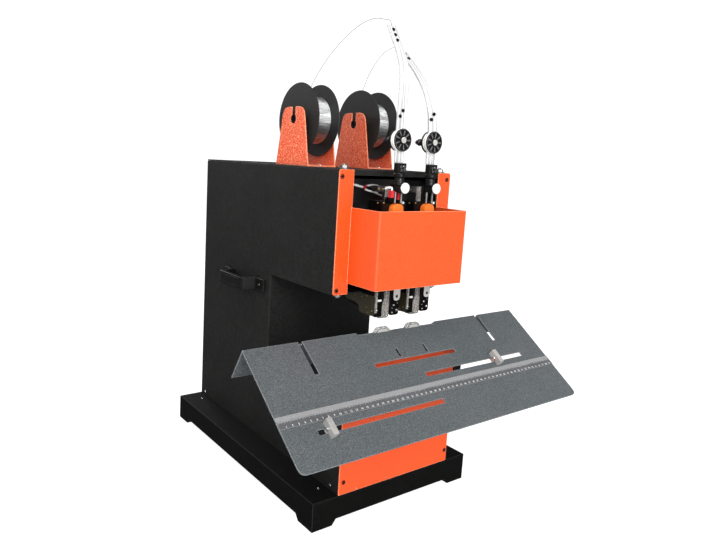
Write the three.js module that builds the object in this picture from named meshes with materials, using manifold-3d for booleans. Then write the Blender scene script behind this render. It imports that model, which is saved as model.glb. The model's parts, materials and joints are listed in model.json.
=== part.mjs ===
// Wire stitching machine for booklets: two stitching heads fed from two wire spools close their
// staples against two clinchers in the ridge of a saddle table.
import * as THREE from 'three';
import { mergeVertices } from 'three/addons/utils/BufferGeometryUtils.js';
import Module from 'manifold-3d';

const wasm = await Module();
wasm.setup();

// Lengths are in millimetres. X runs across the machine, Y from its front to its back, Z is up.

// Sheet, clearances and the passing length of cutting tools
const sheet = 2;
const seatGap = 0.3;
const slideGap = 0.5;
const overrun = 5;

// Base tray on four corner feet
const baseWidth = 350;
const baseDepth = 520;
const baseHeight = 49;
const skirtLift = 10;
const footLength = 40;
const footSlant = 8;

// Body: a column at the back, a head that reaches over the throat and an arm under it
const bodyWidth = 250;
const bodyTop = 576;
const rearInset = 4;
const headReach = 192;
const headFloorHeight = 373;
const armTop = 225;
const armReach = 237;
const noseTop = 268;
const noseLength = 43;
const panelCorner = 4;
const coverLip = 9;

// Orange guard in front of the heads
const guardWidth = 194.8;
const guardDepth = 72;
const guardBottom = 391.4;
const guardHeight = 124.3;
const guardCorner = 4;

// Saddle table and its slots, the slots measured down the front slope from the ridge
const tableWidth = 600;
const ridgeHeight = 312.6;
const ridgeLead = 24;
const frontSlopeLength = 201;
const backSlopeLength = 57.2;
const tableCorner = 11;
const slotWidth = 8;
const openSlotOffset = 200;
const openSlotLength = 61;
const shortSlotWidth = 4.5;
const shortSlotOffset = 30.5;
const shortSlotStart = 41;
const shortSlotLength = 17.5;
const middleSlotReach = 90.5;
const middleSlotPlace = 66;
const rightSlotInner = 4;
const rightSlotMargin = 60;
const rightSlotPlace = 99.5;
const leftSlotInner = 2;
const leftSlotMargin = 54;
const leftSlotPlace = 150.3;
const notchReach = 90.6;
const notchChamfer = 11;
const notchDepth = 7;
const rulerPlace = 115;
const rulerDepth = 19;
const rulerThickness = 0.5;
const bracketFlange = 15.7;
const bracketBottom = 205;
const bracketReach = 25;
const bracketDepth = 48;

// Sliding paper guides
const guideWidth = 9;
const guideLength = 26;
const guideHeight = 12;
const guideFootLength = 12;
const guideFootHeight = 3;
const tongueLength = 7;
const leftGuideInset = 18.5;
const rightGuideInset = 74.5;
const clampHeadRadius = 3;
const clampHeadLength = 2.5;
const clampShankRadius = 1.5;
const clampShankLength = 5;
const clampHeight = 4.5;

// Spool brackets, spools and the wire wound on them
const bracketSpan = 59.3;
const bracketLength = 103;
const bracketTopLength = 64;
const bracketHeight = 101;
const bracketCorner = 15;
const spoolLead = 41.8;
const leftBracketPlace = -117;
const rightBracketPlace = 17;
const axleRadius = 8.2;
const axleCollarRadius = 11;
const axleCollarLength = 2.2;
const axleHeight = 80.8;
const keySlotWidth = 11;
const spoolRadius = 63;
const spoolInset = 10;
const spoolWidth = 44.5;
const spoolFlange = 2;
const windingRadius = 41;
const windingWire = 2.7;
const windingSideGap = 0.6;
const windingLoops = 11;
const windingSteps = 24;
const windingSides = 6;
const stitchWire = 0.8;
const leftWireStart = 47;
const rightWireStart = 25;

// Heads: two alike, one to each side of the middle
const headSpacing = 70;
const headWidth = 52;
const headFaceLead = 10;
const headUpperDepth = 33;
const headLowerDepth = 81.7;
const headBottom = 338;
const headShoulder = 400;
const headHeight = 190;
const cheekRise = 16;
const headCorner = 5;
const driverWidth = 19;
const driverThickness = 6;
const driverShift = -1.5;
const driverTip = 333;
const driverTop = 552;
const driverWindow = 380;
const driverHoleBottom = 353;
const driverHoleTop = 372;
const driverHoleWidth = 4;
const anvilLead = 0.8;
const strapShift = 17;
const strapWidth = 15;
const strapThickness = 3;
const strapBottom = 363;
const strapTop = 400;
const strapHole = 2.75;
const strapHoleHeight = 370.5;
const bossWidth = 12;
const bossTop = 555.5;

// Feed lever on its pin in front of each head
const leverWidth = 23;
const leverThickness = 10.7;
const leverPivotHeight = 478;
const leverTop = 525;
const leverCorner = 10;
const leverPin = 2.2;
const lugThickness = 3;

// Wire inlet, its knob and the rods under it
const inletWidth = 18;
const inletDepth = 11;
const inletTop = 590;
const inletHeight = 16.5;
const inletLead = 2.6;
const neckRadius = 8.5;
const collarDepth = 16.4;
const collarBottom = 543;
const collarHeight = 13;
const ribDepth = 0.9;
const ribCount = 4;
const rodRadius = 2;
const rodLength = 17;
const rodSpread = 6.5;
const feedKnobRadius = 8.5;
const feedKnobThickness = 7.7;
const feedKnobHeight = 551;
const stemRadius = 2.5;
const stemSeat = 3.7;

// Guide strips that lead the wire down from the spools
const stripWidth = 19.5;
const stripThickness = 2.4;
const stripLead = 3.5;
const leftStripBend = 714;
const leftStripTop = 806;
const leftStripSweep = 38.5;
const rightStripBend = 645;
const rightStripTop = 780;
const rightStripSweep = 85.5;

// Tension units on the strips
const tensionHeight = 626;
const tensionKnobRadius = 18;
const tensionKnobThickness = 5;
const tensionSpokes = 6;
const tensionSpokeHole = 3.2;
const tensionSpokePlace = 11;
const tensionPlateRadius = 17;
const tensionPlateThickness = 5;
const tensionAxleRadius = 3;
const tensionAxleTail = 29;
const tensionCapRadius = 5.5;
const tensionCapThickness = 2;
const tensionNutRadius = 6.5;
const tensionNutLength = 12;
const feltThickness = 1.5;

// Drive: ram bar, beam, crank and motor
const ramReach = 61;
const ramDepth = 14.4;
const ramHeight = 10;
const yokeWidth = 48;
const yokeThickness = 8.4;
const yokeHeight = 72;
const yokeSlotReach = 13;
const pivotPlay = 2;
const crankHeight = 505;
const crankRadius = 6.25;
const crankPinRadius = 5;
const crankDiscRadius = 16;
const crankDiscThickness = 8;
const crankLead = 30;
const shaftRadius = 10;
const shaftSeat = 12;
const beamThickness = 15;
const beamTop = 560;
const motorWidth = 90;
const motorHeight = 90;
const motorLength = 190;
const motorCorner = 14;

// Clinchers on their post
const clincherBase = 36;
const clincherTop = 24;
const clincherHeight = 8;
const clincherThickness = 6;
const clincherGroove = 1.5;
const clincherGrooveSpread = 6;
const postReach = 60;
const postThickness = 5.5;
const postTop = 308.7;
const postFootDepth = 24;
const postFootHeight = 3;

// Tie rods beside the heads
const tieRodSpread = 108;
const tieRodInset = 9;
const tieRodRadius = 3;
const nutRadius = 5.8;
const nutHeight = 5;
const washerRadius = 8.7;
const washerHeight = 1.2;
const tieRodEnd = 2;

// Carrying handles on the side panels
const handleStart = 15;
const handleLength = 157;
const handleHeight = 24;
const handleCentre = 348;
const handleReach = 35;
const handleBar = 9;
const handlePad = 6;
const handlePadLength = 28;
const handleLeg = 9;
const handleCorner = 8;
const handleScrewPlace = 17;
const handleScrewRadius = 3.5;
const handleScrewDepth = 3;

// Switch in the right side panel
const switchLength = 22;
const switchWidth = 14;
const switchDepth = 10;
const switchProud = 3;
const switchHeight = 120;
const switchInset = 70;
const switchPlay = 1.8;

// Lead and terminals in the head
const leadRadius = 1.8;
const leadStraight = 6;
const terminalStart = 12;
const terminalWidth = 38;
const terminalPlate = 1.5;
const terminalDepth = 11;
const terminalHeight = 13;
const terminalBottom = 527;
const terminalSplit = 3;

// Counts of sides on round pieces
const roundSides = 20;
const smallSides = 10;
const nutSides = 6;
const bigSides = 32;
const cornerSteps = 3;
const cordSides = 8;
const cordSteps = 40;
const bendSteps = 8;

// Angles of the table's two slopes, of the wire's start on each spool
const frontSlope = THREE.MathUtils.degToRad(36);
const backSlope = THREE.MathUtils.degToRad(59.2);
const leftWireAngle = THREE.MathUtils.degToRad(27);
const rightWireAngle = THREE.MathUtils.degToRad(33);

// Places worked out from the sizes above
const bodyBack = baseDepth / 2 - rearInset;
const bodySide = bodyWidth / 2;
const noseFront = sheet - baseDepth / 2;
const columnFront = noseFront + armReach;
const headFront = columnFront - headReach;
const noseBack = noseFront + noseLength;
const ridgeLine = headFront - ridgeLead;
const anvilLine = ridgeLine - anvilLead;
const headFace = ridgeLine - headFaceLead;
const innerSide = bodySide - sheet - seatGap;
const floorLevel = baseHeight + seatGap;
const tableFront = ridgeLine - frontSlopeLength * Math.cos(frontSlope);
const beamFront = headFace + headLowerDepth + seatGap;
const beamBack = beamFront + beamThickness;
const upperBack = headFace + headUpperDepth;
const spoolLine = columnFront - spoolLead;
const leftSlotStart = leftSlotMargin - tableWidth / 2;
const rightSlotEnd = tableWidth / 2 - rightSlotMargin;

// Materials
const finishes = {
  blackPaint: { color: 0x1d1d1f, roughness: 0.55, metalness: 0.2 },
  orangePaint: { color: 0xd4581f, roughness: 0.45, metalness: 0.2 },
  tableSheet: { color: 0x55565a, roughness: 0.5, metalness: 0.4 },
  brightSteel: { color: 0xc9cbcd, roughness: 0.3, metalness: 0.95 },
  darkSteel: { color: 0x5f6164, roughness: 0.45, metalness: 0.85 },
  blackSteel: { color: 0x232427, roughness: 0.42, metalness: 0.6 },
  castBlock: { color: 0x9b9c9d, roughness: 0.5, metalness: 0.8 },
  blackPlastic: { color: 0x19191a, roughness: 0.6, metalness: 0 },
  whitePlastic: { color: 0xe6e4de, roughness: 0.5, metalness: 0 },
  redPlastic: { color: 0xb3221d, roughness: 0.45, metalness: 0 },
  motorPaint: { color: 0x3c4046, roughness: 0.55, metalness: 0.3 },
  woundWire: { color: 0xd6d7d8, roughness: 0.28, metalness: 0.95 },
};

// The machine stands with the middle of its footprint over the origin
const machine = new THREE.Group();
machine.position.y = -(tableFront + baseDepth / 2) / 2;

function addPart(name, shape, finish, parent = machine) {
  const geometry = shape.isBufferGeometry ? shape : geometryOf(shape);
  const mesh = new THREE.Mesh(geometry, new THREE.MeshStandardMaterial(finishes[finish]));
  mesh.name = name;
  parent.add(mesh);
  return mesh;
}

// Solids: every three.js shape becomes a closed body that can be joined and cut
function solidOf(geometry) {
  const bare = geometry.clone();
  bare.deleteAttribute('normal');
  bare.deleteAttribute('uv');
  const merged = mergeVertices(bare);
  const vertProperties = new Float32Array(merged.attributes.position.array);
  const triVerts = new Uint32Array(merged.index.array);
  return new wasm.Manifold(new wasm.Mesh({ numProp: 3, vertProperties, triVerts }));
}

function geometryOf(body) {
  const mesh = body.getMesh();
  const geometry = new THREE.BufferGeometry();
  geometry.setAttribute('position', new THREE.BufferAttribute(mesh.vertProperties, mesh.numProp));
  geometry.setIndex(new THREE.BufferAttribute(mesh.triVerts, 1));
  geometry.computeVertexNormals();
  return geometry;
}

function join(first, ...others) {
  return others.reduce((whole, other) => whole.add(other), first);
}

function cut(first, ...tools) {
  return tools.reduce((whole, tool) => whole.subtract(tool), first);
}

// A box between two places along each axis
function boxGeometry([x0, x1], [y0, y1], [z0, z1]) {
  const geometry = new THREE.BoxGeometry(x1 - x0, y1 - y0, z1 - z0);
  geometry.translate((x0 + x1) / 2, (y0 + y1) / 2, (z0 + z1) / 2);
  return geometry;
}

function slab(x, y, z) {
  return solidOf(boxGeometry(x, y, z));
}

// The range that lies evenly about a place
function about(middle, width) {
  return [middle - width / 2, middle + width / 2];
}

// A round bar from one place to another along an axis, its other two coordinates given in order
function barGeometry(axis, radius, [from, to], [first, second], sides = smallSides) {
  const geometry = new THREE.CylinderGeometry(radius, radius, to - from, sides);
  const middle = (from + to) / 2;
  if (axis === 'x') {
    geometry.rotateZ(-Math.PI / 2);
    geometry.translate(middle, first, second);
  } else if (axis === 'y') {
    geometry.translate(first, middle, second);
  } else {
    geometry.rotateX(Math.PI / 2);
    geometry.translate(first, second, middle);
  }
  return geometry;
}

function bar(axis, radius, range, centre, sides) {
  return solidOf(barGeometry(axis, radius, range, centre, sides));
}

// An outline through corners, each [across, up, radius of its round]
function outline(corners) {
  const shape = new THREE.Shape();
  corners.forEach(([across, up, radius = 0], index) => {
    const last = corners[(index + corners.length - 1) % corners.length];
    const next = corners[(index + 1) % corners.length];
    const corner = new THREE.Vector2(across, up);
    const before = new THREE.Vector2(last[0], last[1]).sub(corner).setLength(radius).add(corner);
    const after = new THREE.Vector2(next[0], next[1]).sub(corner).setLength(radius).add(corner);
    if (index === 0) shape.moveTo(before.x, before.y);
    else shape.lineTo(before.x, before.y);
    if (radius > 0) shape.quadraticCurveTo(across, up, after.x, after.y);
  });
  shape.closePath();
  return shape;
}

// An outline pushed along an axis: drawn in (Y, Z) for x, (X, Z) for y and (X, Y) for z
function prismGeometry(axis, shape, [from, to], curveSegments = cornerSteps) {
  const depth = to - from;
  const geometry = new THREE.ExtrudeGeometry(shape, { depth, bevelEnabled: false, curveSegments });
  const x = new THREE.Vector3(1, 0, 0);
  const y = new THREE.Vector3(0, 1, 0);
  const z = new THREE.Vector3(0, 0, 1);
  const turn = new THREE.Matrix4();
  if (axis === 'x') {
    geometry.applyMatrix4(turn.makeBasis(y, z, x));
    geometry.translate(from, 0, 0);
  } else if (axis === 'y') {
    geometry.applyMatrix4(turn.makeBasis(x, z, y.clone().negate()));
    geometry.translate(0, to, 0);
  } else {
    geometry.translate(0, 0, from);
  }
  return geometry;
}

function prism(axis, shape, range, curveSegments) {
  return solidOf(prismGeometry(axis, shape, range, curveSegments));
}

// Base tray
function makeBaseTray() {
  const outer = slab(about(0, baseWidth), about(0, baseDepth), [0, baseHeight]);
  const inside = slab(
    about(0, baseWidth - 2 * sheet),
    about(0, baseDepth - 2 * sheet),
    [sheet, baseHeight - sheet],
  );
  const well = slab(
    about(0, baseWidth - 2 * footLength),
    about(0, baseDepth - 2 * footLength),
    [-overrun, baseHeight - sheet],
  );
  const sideGate = prism('x', gateOutline(baseDepth), about(0, baseWidth + 2 * overrun));
  const frontGate = prism('y', gateOutline(baseWidth), about(0, baseDepth + 2 * overrun));
  return cut(outer, inside, well, sideGate, frontGate);
}

// The space under the skirt between two feet
function gateOutline(length) {
  const reach = length / 2 - footLength;
  return outline([
    [-reach, -overrun],
    [reach, -overrun],
    [reach, 0],
    [reach - footSlant, skirtLift],
    [footSlant - reach, skirtLift],
    [-reach, 0],
  ]);
}
addPart('base_tray', makeBaseTray(), 'blackPaint');

// Side panels: one outline holds the column, the head and the arm with its raised nose
const coverBottom = bodyTop - sheet;
const panelTop = coverBottom - seatGap;
const armFront = noseFront + seatGap;
const panelOutline = outline([
  [bodyBack, floorLevel],
  [bodyBack, panelTop, panelCorner],
  [headFront, panelTop, panelCorner],
  [headFront, headFloorHeight, panelCorner],
  [columnFront, headFloorHeight, panelCorner],
  [columnFront, armTop, panelCorner],
  [noseBack, armTop],
  [noseBack, noseTop, panelCorner],
  [armFront, noseTop, panelCorner],
  [armFront, floorLevel],
]);
const switchLine = bodyBack - switchInset;
const switchHole = slab(
  [0, bodyWidth],
  about(switchLine, switchWidth + 2 * seatGap),
  about(switchHeight, switchLength + 2 * switchPlay),
);
addPart('left_side_panel', prism('x', panelOutline, [-bodySide, sheet - bodySide]), 'blackPaint');
const rightPanel = cut(prism('x', panelOutline, [bodySide - sheet, bodySide]), switchHole);
addPart('right_side_panel', rightPanel, 'blackPaint');

// Covers between and over the side panels
const innerWidth = about(0, 2 * innerSide);
const tieRodLine = headFront + tieRodInset;
const tieRodHoles = [-tieRodSpread, tieRodSpread].map((place) => bar(
  'z',
  tieRodRadius + seatGap,
  [headFloorHeight - overrun, bodyTop + overrun],
  [place, tieRodLine],
));
const topPlate = slab(about(0, bodyWidth), [headFront, bodyBack], [coverBottom, bodyTop]);
const topLip = slab(innerWidth, [headFront, headFront + sheet], [bodyTop - coverLip, bodyTop - sheet / 2]);
addPart('top_cover', cut(join(topPlate, topLip), ...tieRodHoles), 'blackPaint');
addPart('rear_cover', slab(innerWidth, [bodyBack - sheet, bodyBack], [floorLevel, panelTop]), 'blackPaint');
addPart(
  'column_front_cover',
  slab(innerWidth, [columnFront, columnFront + sheet], [armTop - sheet, headFloorHeight - seatGap]),
  'blackPaint',
);
const headBay = headSpacing / 2 + headWidth / 2 + slideGap;
const headFloorPlate = slab(
  innerWidth,
  [headFront + seatGap, columnFront + sheet],
  [headFloorHeight, headFloorHeight + sheet],
);
const headFloorBay = slab(
  about(0, 2 * headBay),
  [headFront - overrun, beamFront],
  [headFloorHeight - overrun, headFloorHeight + overrun],
);
addPart('head_floor', cut(headFloorPlate, headFloorBay, ...tieRodHoles), 'blackPaint');
const armCoverOutline = outline([
  [columnFront - seatGap, armTop],
  [noseBack, armTop],
  [noseBack, noseTop],
  [armFront, noseTop],
  [armFront, noseTop - sheet],
  [noseBack - sheet, noseTop - sheet],
  [noseBack - sheet, armTop - sheet],
  [columnFront - seatGap, armTop - sheet],
]);
addPart('arm_cover', prism('x', armCoverOutline, innerWidth), 'blackPaint');
addPart(
  'lower_front_panel',
  slab(about(0, bodyWidth), [noseFront - sheet, noseFront], [floorLevel, noseTop]),
  'orangePaint',
);

// Front guard: a shallow channel on two flanges
function makeGuard() {
  const back = headFront - seatGap;
  const front = headFront - guardDepth;
  const side = guardWidth / 2;
  const flangeOutline = outline([
    [-bodySide, headFloorHeight, guardCorner],
    [sheet - side, headFloorHeight],
    [sheet - side, bodyTop - seatGap],
    [-bodySide, bodyTop - seatGap, guardCorner],
  ]);
  const leftFlange = prismGeometry('y', flangeOutline, [back - sheet, back]);
  const rightFlange = leftFlange.clone().rotateZ(Math.PI);
  rightFlange.translate(0, 2 * back - sheet, 0);
  const channelOutline = outline([
    [-side, back],
    [-side, front, guardCorner],
    [side, front, guardCorner],
    [side, back],
    [side - sheet, back],
    [side - sheet, front + sheet, guardCorner / 2],
    [sheet - side, front + sheet, guardCorner / 2],
    [sheet - side, back],
  ]);
  const channel = prism('z', channelOutline, [guardBottom, guardBottom + guardHeight]);
  return join(channel, solidOf(leftFlange), solidOf(rightFlange));
}
addPart('front_guard', makeGuard(), 'orangePaint');

// Carrying handles: a bridge with a finger gap on two pads
function makeHandle(side) {
  const panel = bodySide + seatGap;
  const start = columnFront + handleStart;
  const end = start + handleLength;
  const grip = panel + handleReach;
  const legStart = start + handlePadLength;
  const legEnd = end - handlePadLength;
  const shape = outline([
    [side * panel, start],
    [side * (panel + handlePad), start, handlePad / 2],
    [side * (panel + handlePad), legStart, handleCorner / 2],
    [side * grip, legStart + handlePad, handleCorner],
    [side * grip, legEnd - handlePad, handleCorner],
    [side * (panel + handlePad), legEnd, handleCorner / 2],
    [side * (panel + handlePad), end, handlePad / 2],
    [side * panel, end],
    [side * panel, legEnd - handleLeg],
    [side * (grip - handleBar), legEnd - handleLeg - handlePad, handleCorner],
    [side * (grip - handleBar), legStart + handleLeg + handlePad, handleCorner],
    [side * panel, legStart + handleLeg],
  ]);
  const face = panel + handlePad;
  const recess = side > 0
    ? [face - handleScrewDepth, face + overrun]
    : [-face - overrun, handleScrewDepth - face];
  const screws = [start + handleScrewPlace, end - handleScrewPlace].map((place) => bar(
    'x',
    handleScrewRadius,
    recess,
    [place, handleCentre],
  ));
  return cut(prism('z', shape, about(handleCentre, handleHeight)), ...screws);
}
addPart('left_handle', makeHandle(-1), 'blackPlastic');
addPart('right_handle', makeHandle(1), 'blackPlastic');

// Saddle table, drawn in a frame that lies on its front slope: X across, -Y down the slope
const slopeFrame = new THREE.Group();
slopeFrame.position.set(0, ridgeLine, ridgeHeight);
slopeFrame.rotation.x = frontSlope;
machine.add(slopeFrame);

function onSlope(geometry) {
  return geometry.rotateX(frontSlope).translate(0, ridgeLine, ridgeHeight);
}

function slopeSlot(x, [start, end]) {
  return solidOf(onSlope(boxGeometry(x, [-end, -start], [-overrun, overrun])));
}

// The point at a depth under both slopes, below the ridge
function underRidge(depth) {
  const bend = Math.sin(frontSlope + backSlope);
  const across = depth * (Math.cos(backSlope) - Math.cos(frontSlope)) / bend;
  const down = -depth * (Math.sin(frontSlope) + Math.sin(backSlope)) / bend;
  return [ridgeLine + across, ridgeHeight + down];
}

function makeTable() {
  const [bendY, bendZ] = underRidge(sheet);
  const down = [-Math.cos(frontSlope), -Math.sin(frontSlope)];
  const back = [Math.cos(backSlope), -Math.sin(backSlope)];
  const frontEdge = [ridgeLine + frontSlopeLength * down[0], ridgeHeight + frontSlopeLength * down[1]];
  const backEdge = [ridgeLine + backSlopeLength * back[0], ridgeHeight + backSlopeLength * back[1]];
  const profile = outline([
    [ridgeLine, ridgeHeight],
    frontEdge,
    [frontEdge[0] - sheet * down[1], frontEdge[1] + sheet * down[0]],
    [bendY, bendZ],
    [backEdge[0] + sheet * back[1], backEdge[1] - sheet * back[0]],
    backEdge,
  ]);
  const side = tableWidth / 2;
  const cornerOutline = new THREE.Shape();
  cornerOutline.moveTo(side - tableCorner, -frontSlopeLength - overrun);
  cornerOutline.lineTo(side + overrun, -frontSlopeLength - overrun);
  cornerOutline.lineTo(side + overrun, tableCorner - frontSlopeLength);
  cornerOutline.lineTo(side, tableCorner - frontSlopeLength);
  cornerOutline.quadraticCurveTo(side, -frontSlopeLength, side - tableCorner, -frontSlopeLength);
  const rightCorner = prismGeometry('z', cornerOutline, [-overrun, overrun]);
  const leftCorner = rightCorner.clone().rotateY(Math.PI);
  const notch = outline([
    [-notchReach, ridgeHeight + overrun],
    [-notchReach, ridgeHeight],
    [notchChamfer - notchReach, ridgeHeight - notchChamfer],
    [notchReach - notchChamfer, ridgeHeight - notchChamfer],
    [notchReach, ridgeHeight],
    [notchReach, ridgeHeight + overrun],
  ]);
  const tools = [
    solidOf(onSlope(rightCorner)),
    solidOf(onSlope(leftCorner)),
    prism('y', notch, about(anvilLine, notchDepth)),
    slopeSlot(about(0, 2 * middleSlotReach), about(middleSlotPlace, slotWidth)),
    slopeSlot([-rightSlotInner, rightSlotEnd], about(rightSlotPlace, slotWidth)),
    slopeSlot([leftSlotStart, -leftSlotInner], about(leftSlotPlace, slotWidth)),
  ];
  for (const place of [-openSlotOffset, openSlotOffset]) {
    tools.push(slopeSlot(about(place, slotWidth), [0, openSlotLength]));
  }
  for (const place of [-shortSlotOffset, shortSlotOffset]) {
    tools.push(slopeSlot(about(place, shortSlotWidth), [shortSlotStart, shortSlotStart + shortSlotLength]));
  }
  return cut(prism('x', profile, about(0, tableWidth)), ...tools);
}
addPart('saddle_table', makeTable(), 'tableSheet');

// Table brackets on the nose of each side panel, with a flange that faces the front
function makeTableBracket(side) {
  const [bendY, bendZ] = underRidge(sheet + seatGap);
  const front = ridgeLine - bracketReach;
  const back = front + bracketDepth;
  const frontTop = bendZ - (bendY - front) * Math.tan(frontSlope);
  const backTop = bendZ - (back - bendY) * Math.tan(backSlope);
  const inner = bodySide + seatGap;
  const plateOutline = outline([
    [front, bracketBottom],
    [back, bracketBottom],
    [back, backTop],
    [bendY, bendZ],
    [front, frontTop],
  ]);
  const flangeOutline = outline([
    [front, bracketBottom],
    [front + sheet, bracketBottom],
    [front + sheet, frontTop],
    [front, frontTop],
  ]);
  const plateRange = side > 0 ? [inner, inner + sheet] : [-inner - sheet, -inner];
  const flangeEnd = inner + sheet + bracketFlange;
  const flangeRange = side > 0 ? [inner, flangeEnd] : [-flangeEnd, -inner];
  return join(prism('x', plateOutline, plateRange), prism('x', flangeOutline, flangeRange));
}
addPart('left_table_bracket', makeTableBracket(-1), 'blackPaint');
addPart('right_table_bracket', makeTableBracket(1), 'blackPaint');

// Ruler strip and the paper guides, placed on the slope
const ruler = new THREE.BoxGeometry(tableWidth, rulerDepth, rulerThickness);
const rulerMesh = addPart('ruler_strip', ruler, 'brightSteel', slopeFrame);
rulerMesh.position.set(0, -rulerPlace - rulerDepth / 2, seatGap + rulerThickness / 2);

// A guide block with its tongue in the slot, its foot under the sheet and a bore for its screw
function makeGuide() {
  const block = slab(about(0, guideWidth), about(0, guideLength), [seatGap, guideHeight]);
  const under = -sheet - seatGap;
  const footBottom = under - guideFootHeight;
  const tongueWidth = slotWidth - 2 * slideGap;
  const tongue = slab(about(0, tongueLength), about(0, tongueWidth), [footBottom, guideHeight]);
  const foot = slab(about(0, guideWidth), about(0, guideFootLength), [footBottom, under]);
  const boreRange = [-guideWidth / 2 - overrun, clampShankLength + seatGap - guideWidth / 2];
  const bore = bar('x', clampShankRadius + seatGap, boreRange, [0, clampHeight]);
  return cut(join(block, tongue, foot), bore);
}

function makeClampScrew() {
  const face = -guideWidth / 2 - seatGap;
  const shankEnd = clampShankLength - guideWidth / 2;
  const head = bar('x', clampHeadRadius, [face - clampHeadLength, face], [0, clampHeight]);
  const shank = bar('x', clampShankRadius, [face - seatGap, shankEnd], [0, clampHeight]);
  return join(head, shank);
}
for (const [side, across, slot] of [
  ['left', leftSlotStart + leftGuideInset, leftSlotPlace],
  ['right', rightSlotEnd - rightGuideInset, rightSlotPlace],
]) {
  const guide = new THREE.Group();
  guide.position.set(across, -slot, 0);
  slopeFrame.add(guide);
  addPart(`${side}_guide_block`, makeGuide(), 'castBlock', guide);
  addPart(`${side}_clamp_screw`, makeClampScrew(), 'brightSteel', guide);
}

// Spool stand: bracket, axle, spool and the wire wound on it
const axleLevel = axleHeight - seatGap;
const standBase = bodyTop + seatGap;
const coreRadius = (windingRadius - windingWire) * Math.cos(Math.PI / windingSteps) - seatGap;

// Drawn in a frame that starts at the bracket's left face, on the top cover
function makeSpoolBracket() {
  const middle = bracketLength / 2;
  const top = bracketTopLength / 2;
  const side = outline([
    [-middle, 0],
    [middle, 0],
    [top, bracketHeight, bracketCorner],
    [-top, bracketHeight, bracketCorner],
  ]);
  const inside = slab(
    [sheet, bracketSpan - sheet],
    about(0, 2 * bracketLength),
    [sheet, bracketHeight + overrun],
  );
  const through = [-overrun, bracketSpan + overrun];
  const hole = bar('x', axleRadius + seatGap, through, [0, axleLevel], roundSides);
  const slot = slab(through, about(0, keySlotWidth), [axleLevel, bracketHeight + overrun]);
  return cut(prism('x', side, [0, bracketSpan]), inside, hole, slot);
}

// A rod with its ends in the two keyholes and a collar inside each plate
function makeSpoolAxle() {
  const near = sheet + seatGap;
  const far = bracketSpan - near;
  const rod = bar('x', axleRadius, [0, bracketSpan], [0, 0], roundSides);
  const nearCollar = bar('x', axleCollarRadius, [near, near + axleCollarLength], [0, 0], roundSides);
  const farCollar = bar('x', axleCollarRadius, [far - axleCollarLength, far], [0, 0], roundSides);
  return join(rod, nearCollar, farCollar);
}

function makeSpool() {
  const bore = axleRadius + seatGap;
  const flange = spoolInset + spoolFlange;
  const end = spoolInset + spoolWidth;
  const profile = [
    [bore, spoolInset],
    [spoolRadius, spoolInset],
    [spoolRadius, flange],
    [coreRadius, flange],
    [coreRadius, end - spoolFlange],
    [spoolRadius, end - spoolFlange],
    [spoolRadius, end],
    [bore, end],
    [bore, spoolInset],
  ].map(([radius, along]) => new THREE.Vector2(radius, along));
  return new THREE.LatheGeometry(profile, bigSides).rotateZ(-Math.PI / 2);
}

// One unbroken tube of loops, its two ends straight for one tube diameter
const windingStart = spoolInset + spoolFlange + windingSideGap + windingWire / 2;
const windingEnd = spoolInset + spoolWidth - spoolFlange - windingSideGap - windingWire / 2;
const coilRadius = windingRadius - windingWire / 2;
const wireSeat = Math.hypot(coilRadius, windingWire) + (windingWire + stitchWire) / 2 + seatGap;

function windingRings(first, last, angle) {
  const steps = windingLoops * windingSteps;
  const rings = [];
  const ringAt = (share, turn, ahead) => {
    const outward = new THREE.Vector3(0, Math.cos(turn), Math.sin(turn));
    const forward = new THREE.Vector3(0, -Math.sin(turn), Math.cos(turn));
    const centre = outward.clone().multiplyScalar(coilRadius).addScaledVector(forward, ahead);
    centre.x = first + (last - first) * share;
    return { centre, outward, forward };
  };
  rings.push(ringAt(0, angle, -windingWire));
  for (let step = 0; step <= steps; step += 1) {
    const turn = angle + (step - steps) * 2 * Math.PI / windingSteps;
    rings.push(ringAt(step / steps, turn, 0));
  }
  rings.push(ringAt(1, angle, windingWire));
  return rings;
}

function windingGeometry(rings) {
  const across = new THREE.Vector3(1, 0, 0);
  const points = [];
  const faces = [];
  for (const ring of rings) {
    for (let side = 0; side < windingSides; side += 1) {
      const turn = side * 2 * Math.PI / windingSides;
      const point = ring.centre.clone();
      point.addScaledVector(ring.outward, Math.cos(turn) * windingWire / 2);
      point.addScaledVector(across, Math.sin(turn) * windingWire / 2);
      points.push(point);
    }
  }
  for (let ring = 0; ring + 1 < rings.length; ring += 1) {
    for (let side = 0; side < windingSides; side += 1) {
      const near = ring * windingSides;
      const far = near + windingSides;
      const next = (side + 1) % windingSides;
      faces.push(near + side, far + side, near + next);
      faces.push(near + next, far + side, far + next);
    }
  }
  const end = (rings.length - 1) * windingSides;
  for (let side = 1; side + 1 < windingSides; side += 1) {
    faces.push(0, side, side + 1);
    faces.push(end, end + side + 1, end + side);
  }
  const geometry = new THREE.BufferGeometry().setFromPoints(points);
  geometry.setIndex(faces);
  geometry.computeVertexNormals();
  return geometry;
}

// Least distance between points of the tube that lie more than a quarter loop apart along it
function leastGap(geometry) {
  const places = geometry.attributes.position;
  const apart = windingSides * windingSteps / 4;
  const one = new THREE.Vector3();
  const other = new THREE.Vector3();
  let least = Infinity;
  for (let i = 0; i < places.count; i += 1) {
    one.fromBufferAttribute(places, i);
    for (let j = i + apart; j < places.count; j += 1) {
      other.fromBufferAttribute(places, j);
      least = Math.min(least, one.distanceTo(other));
    }
  }
  return least;
}

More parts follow.
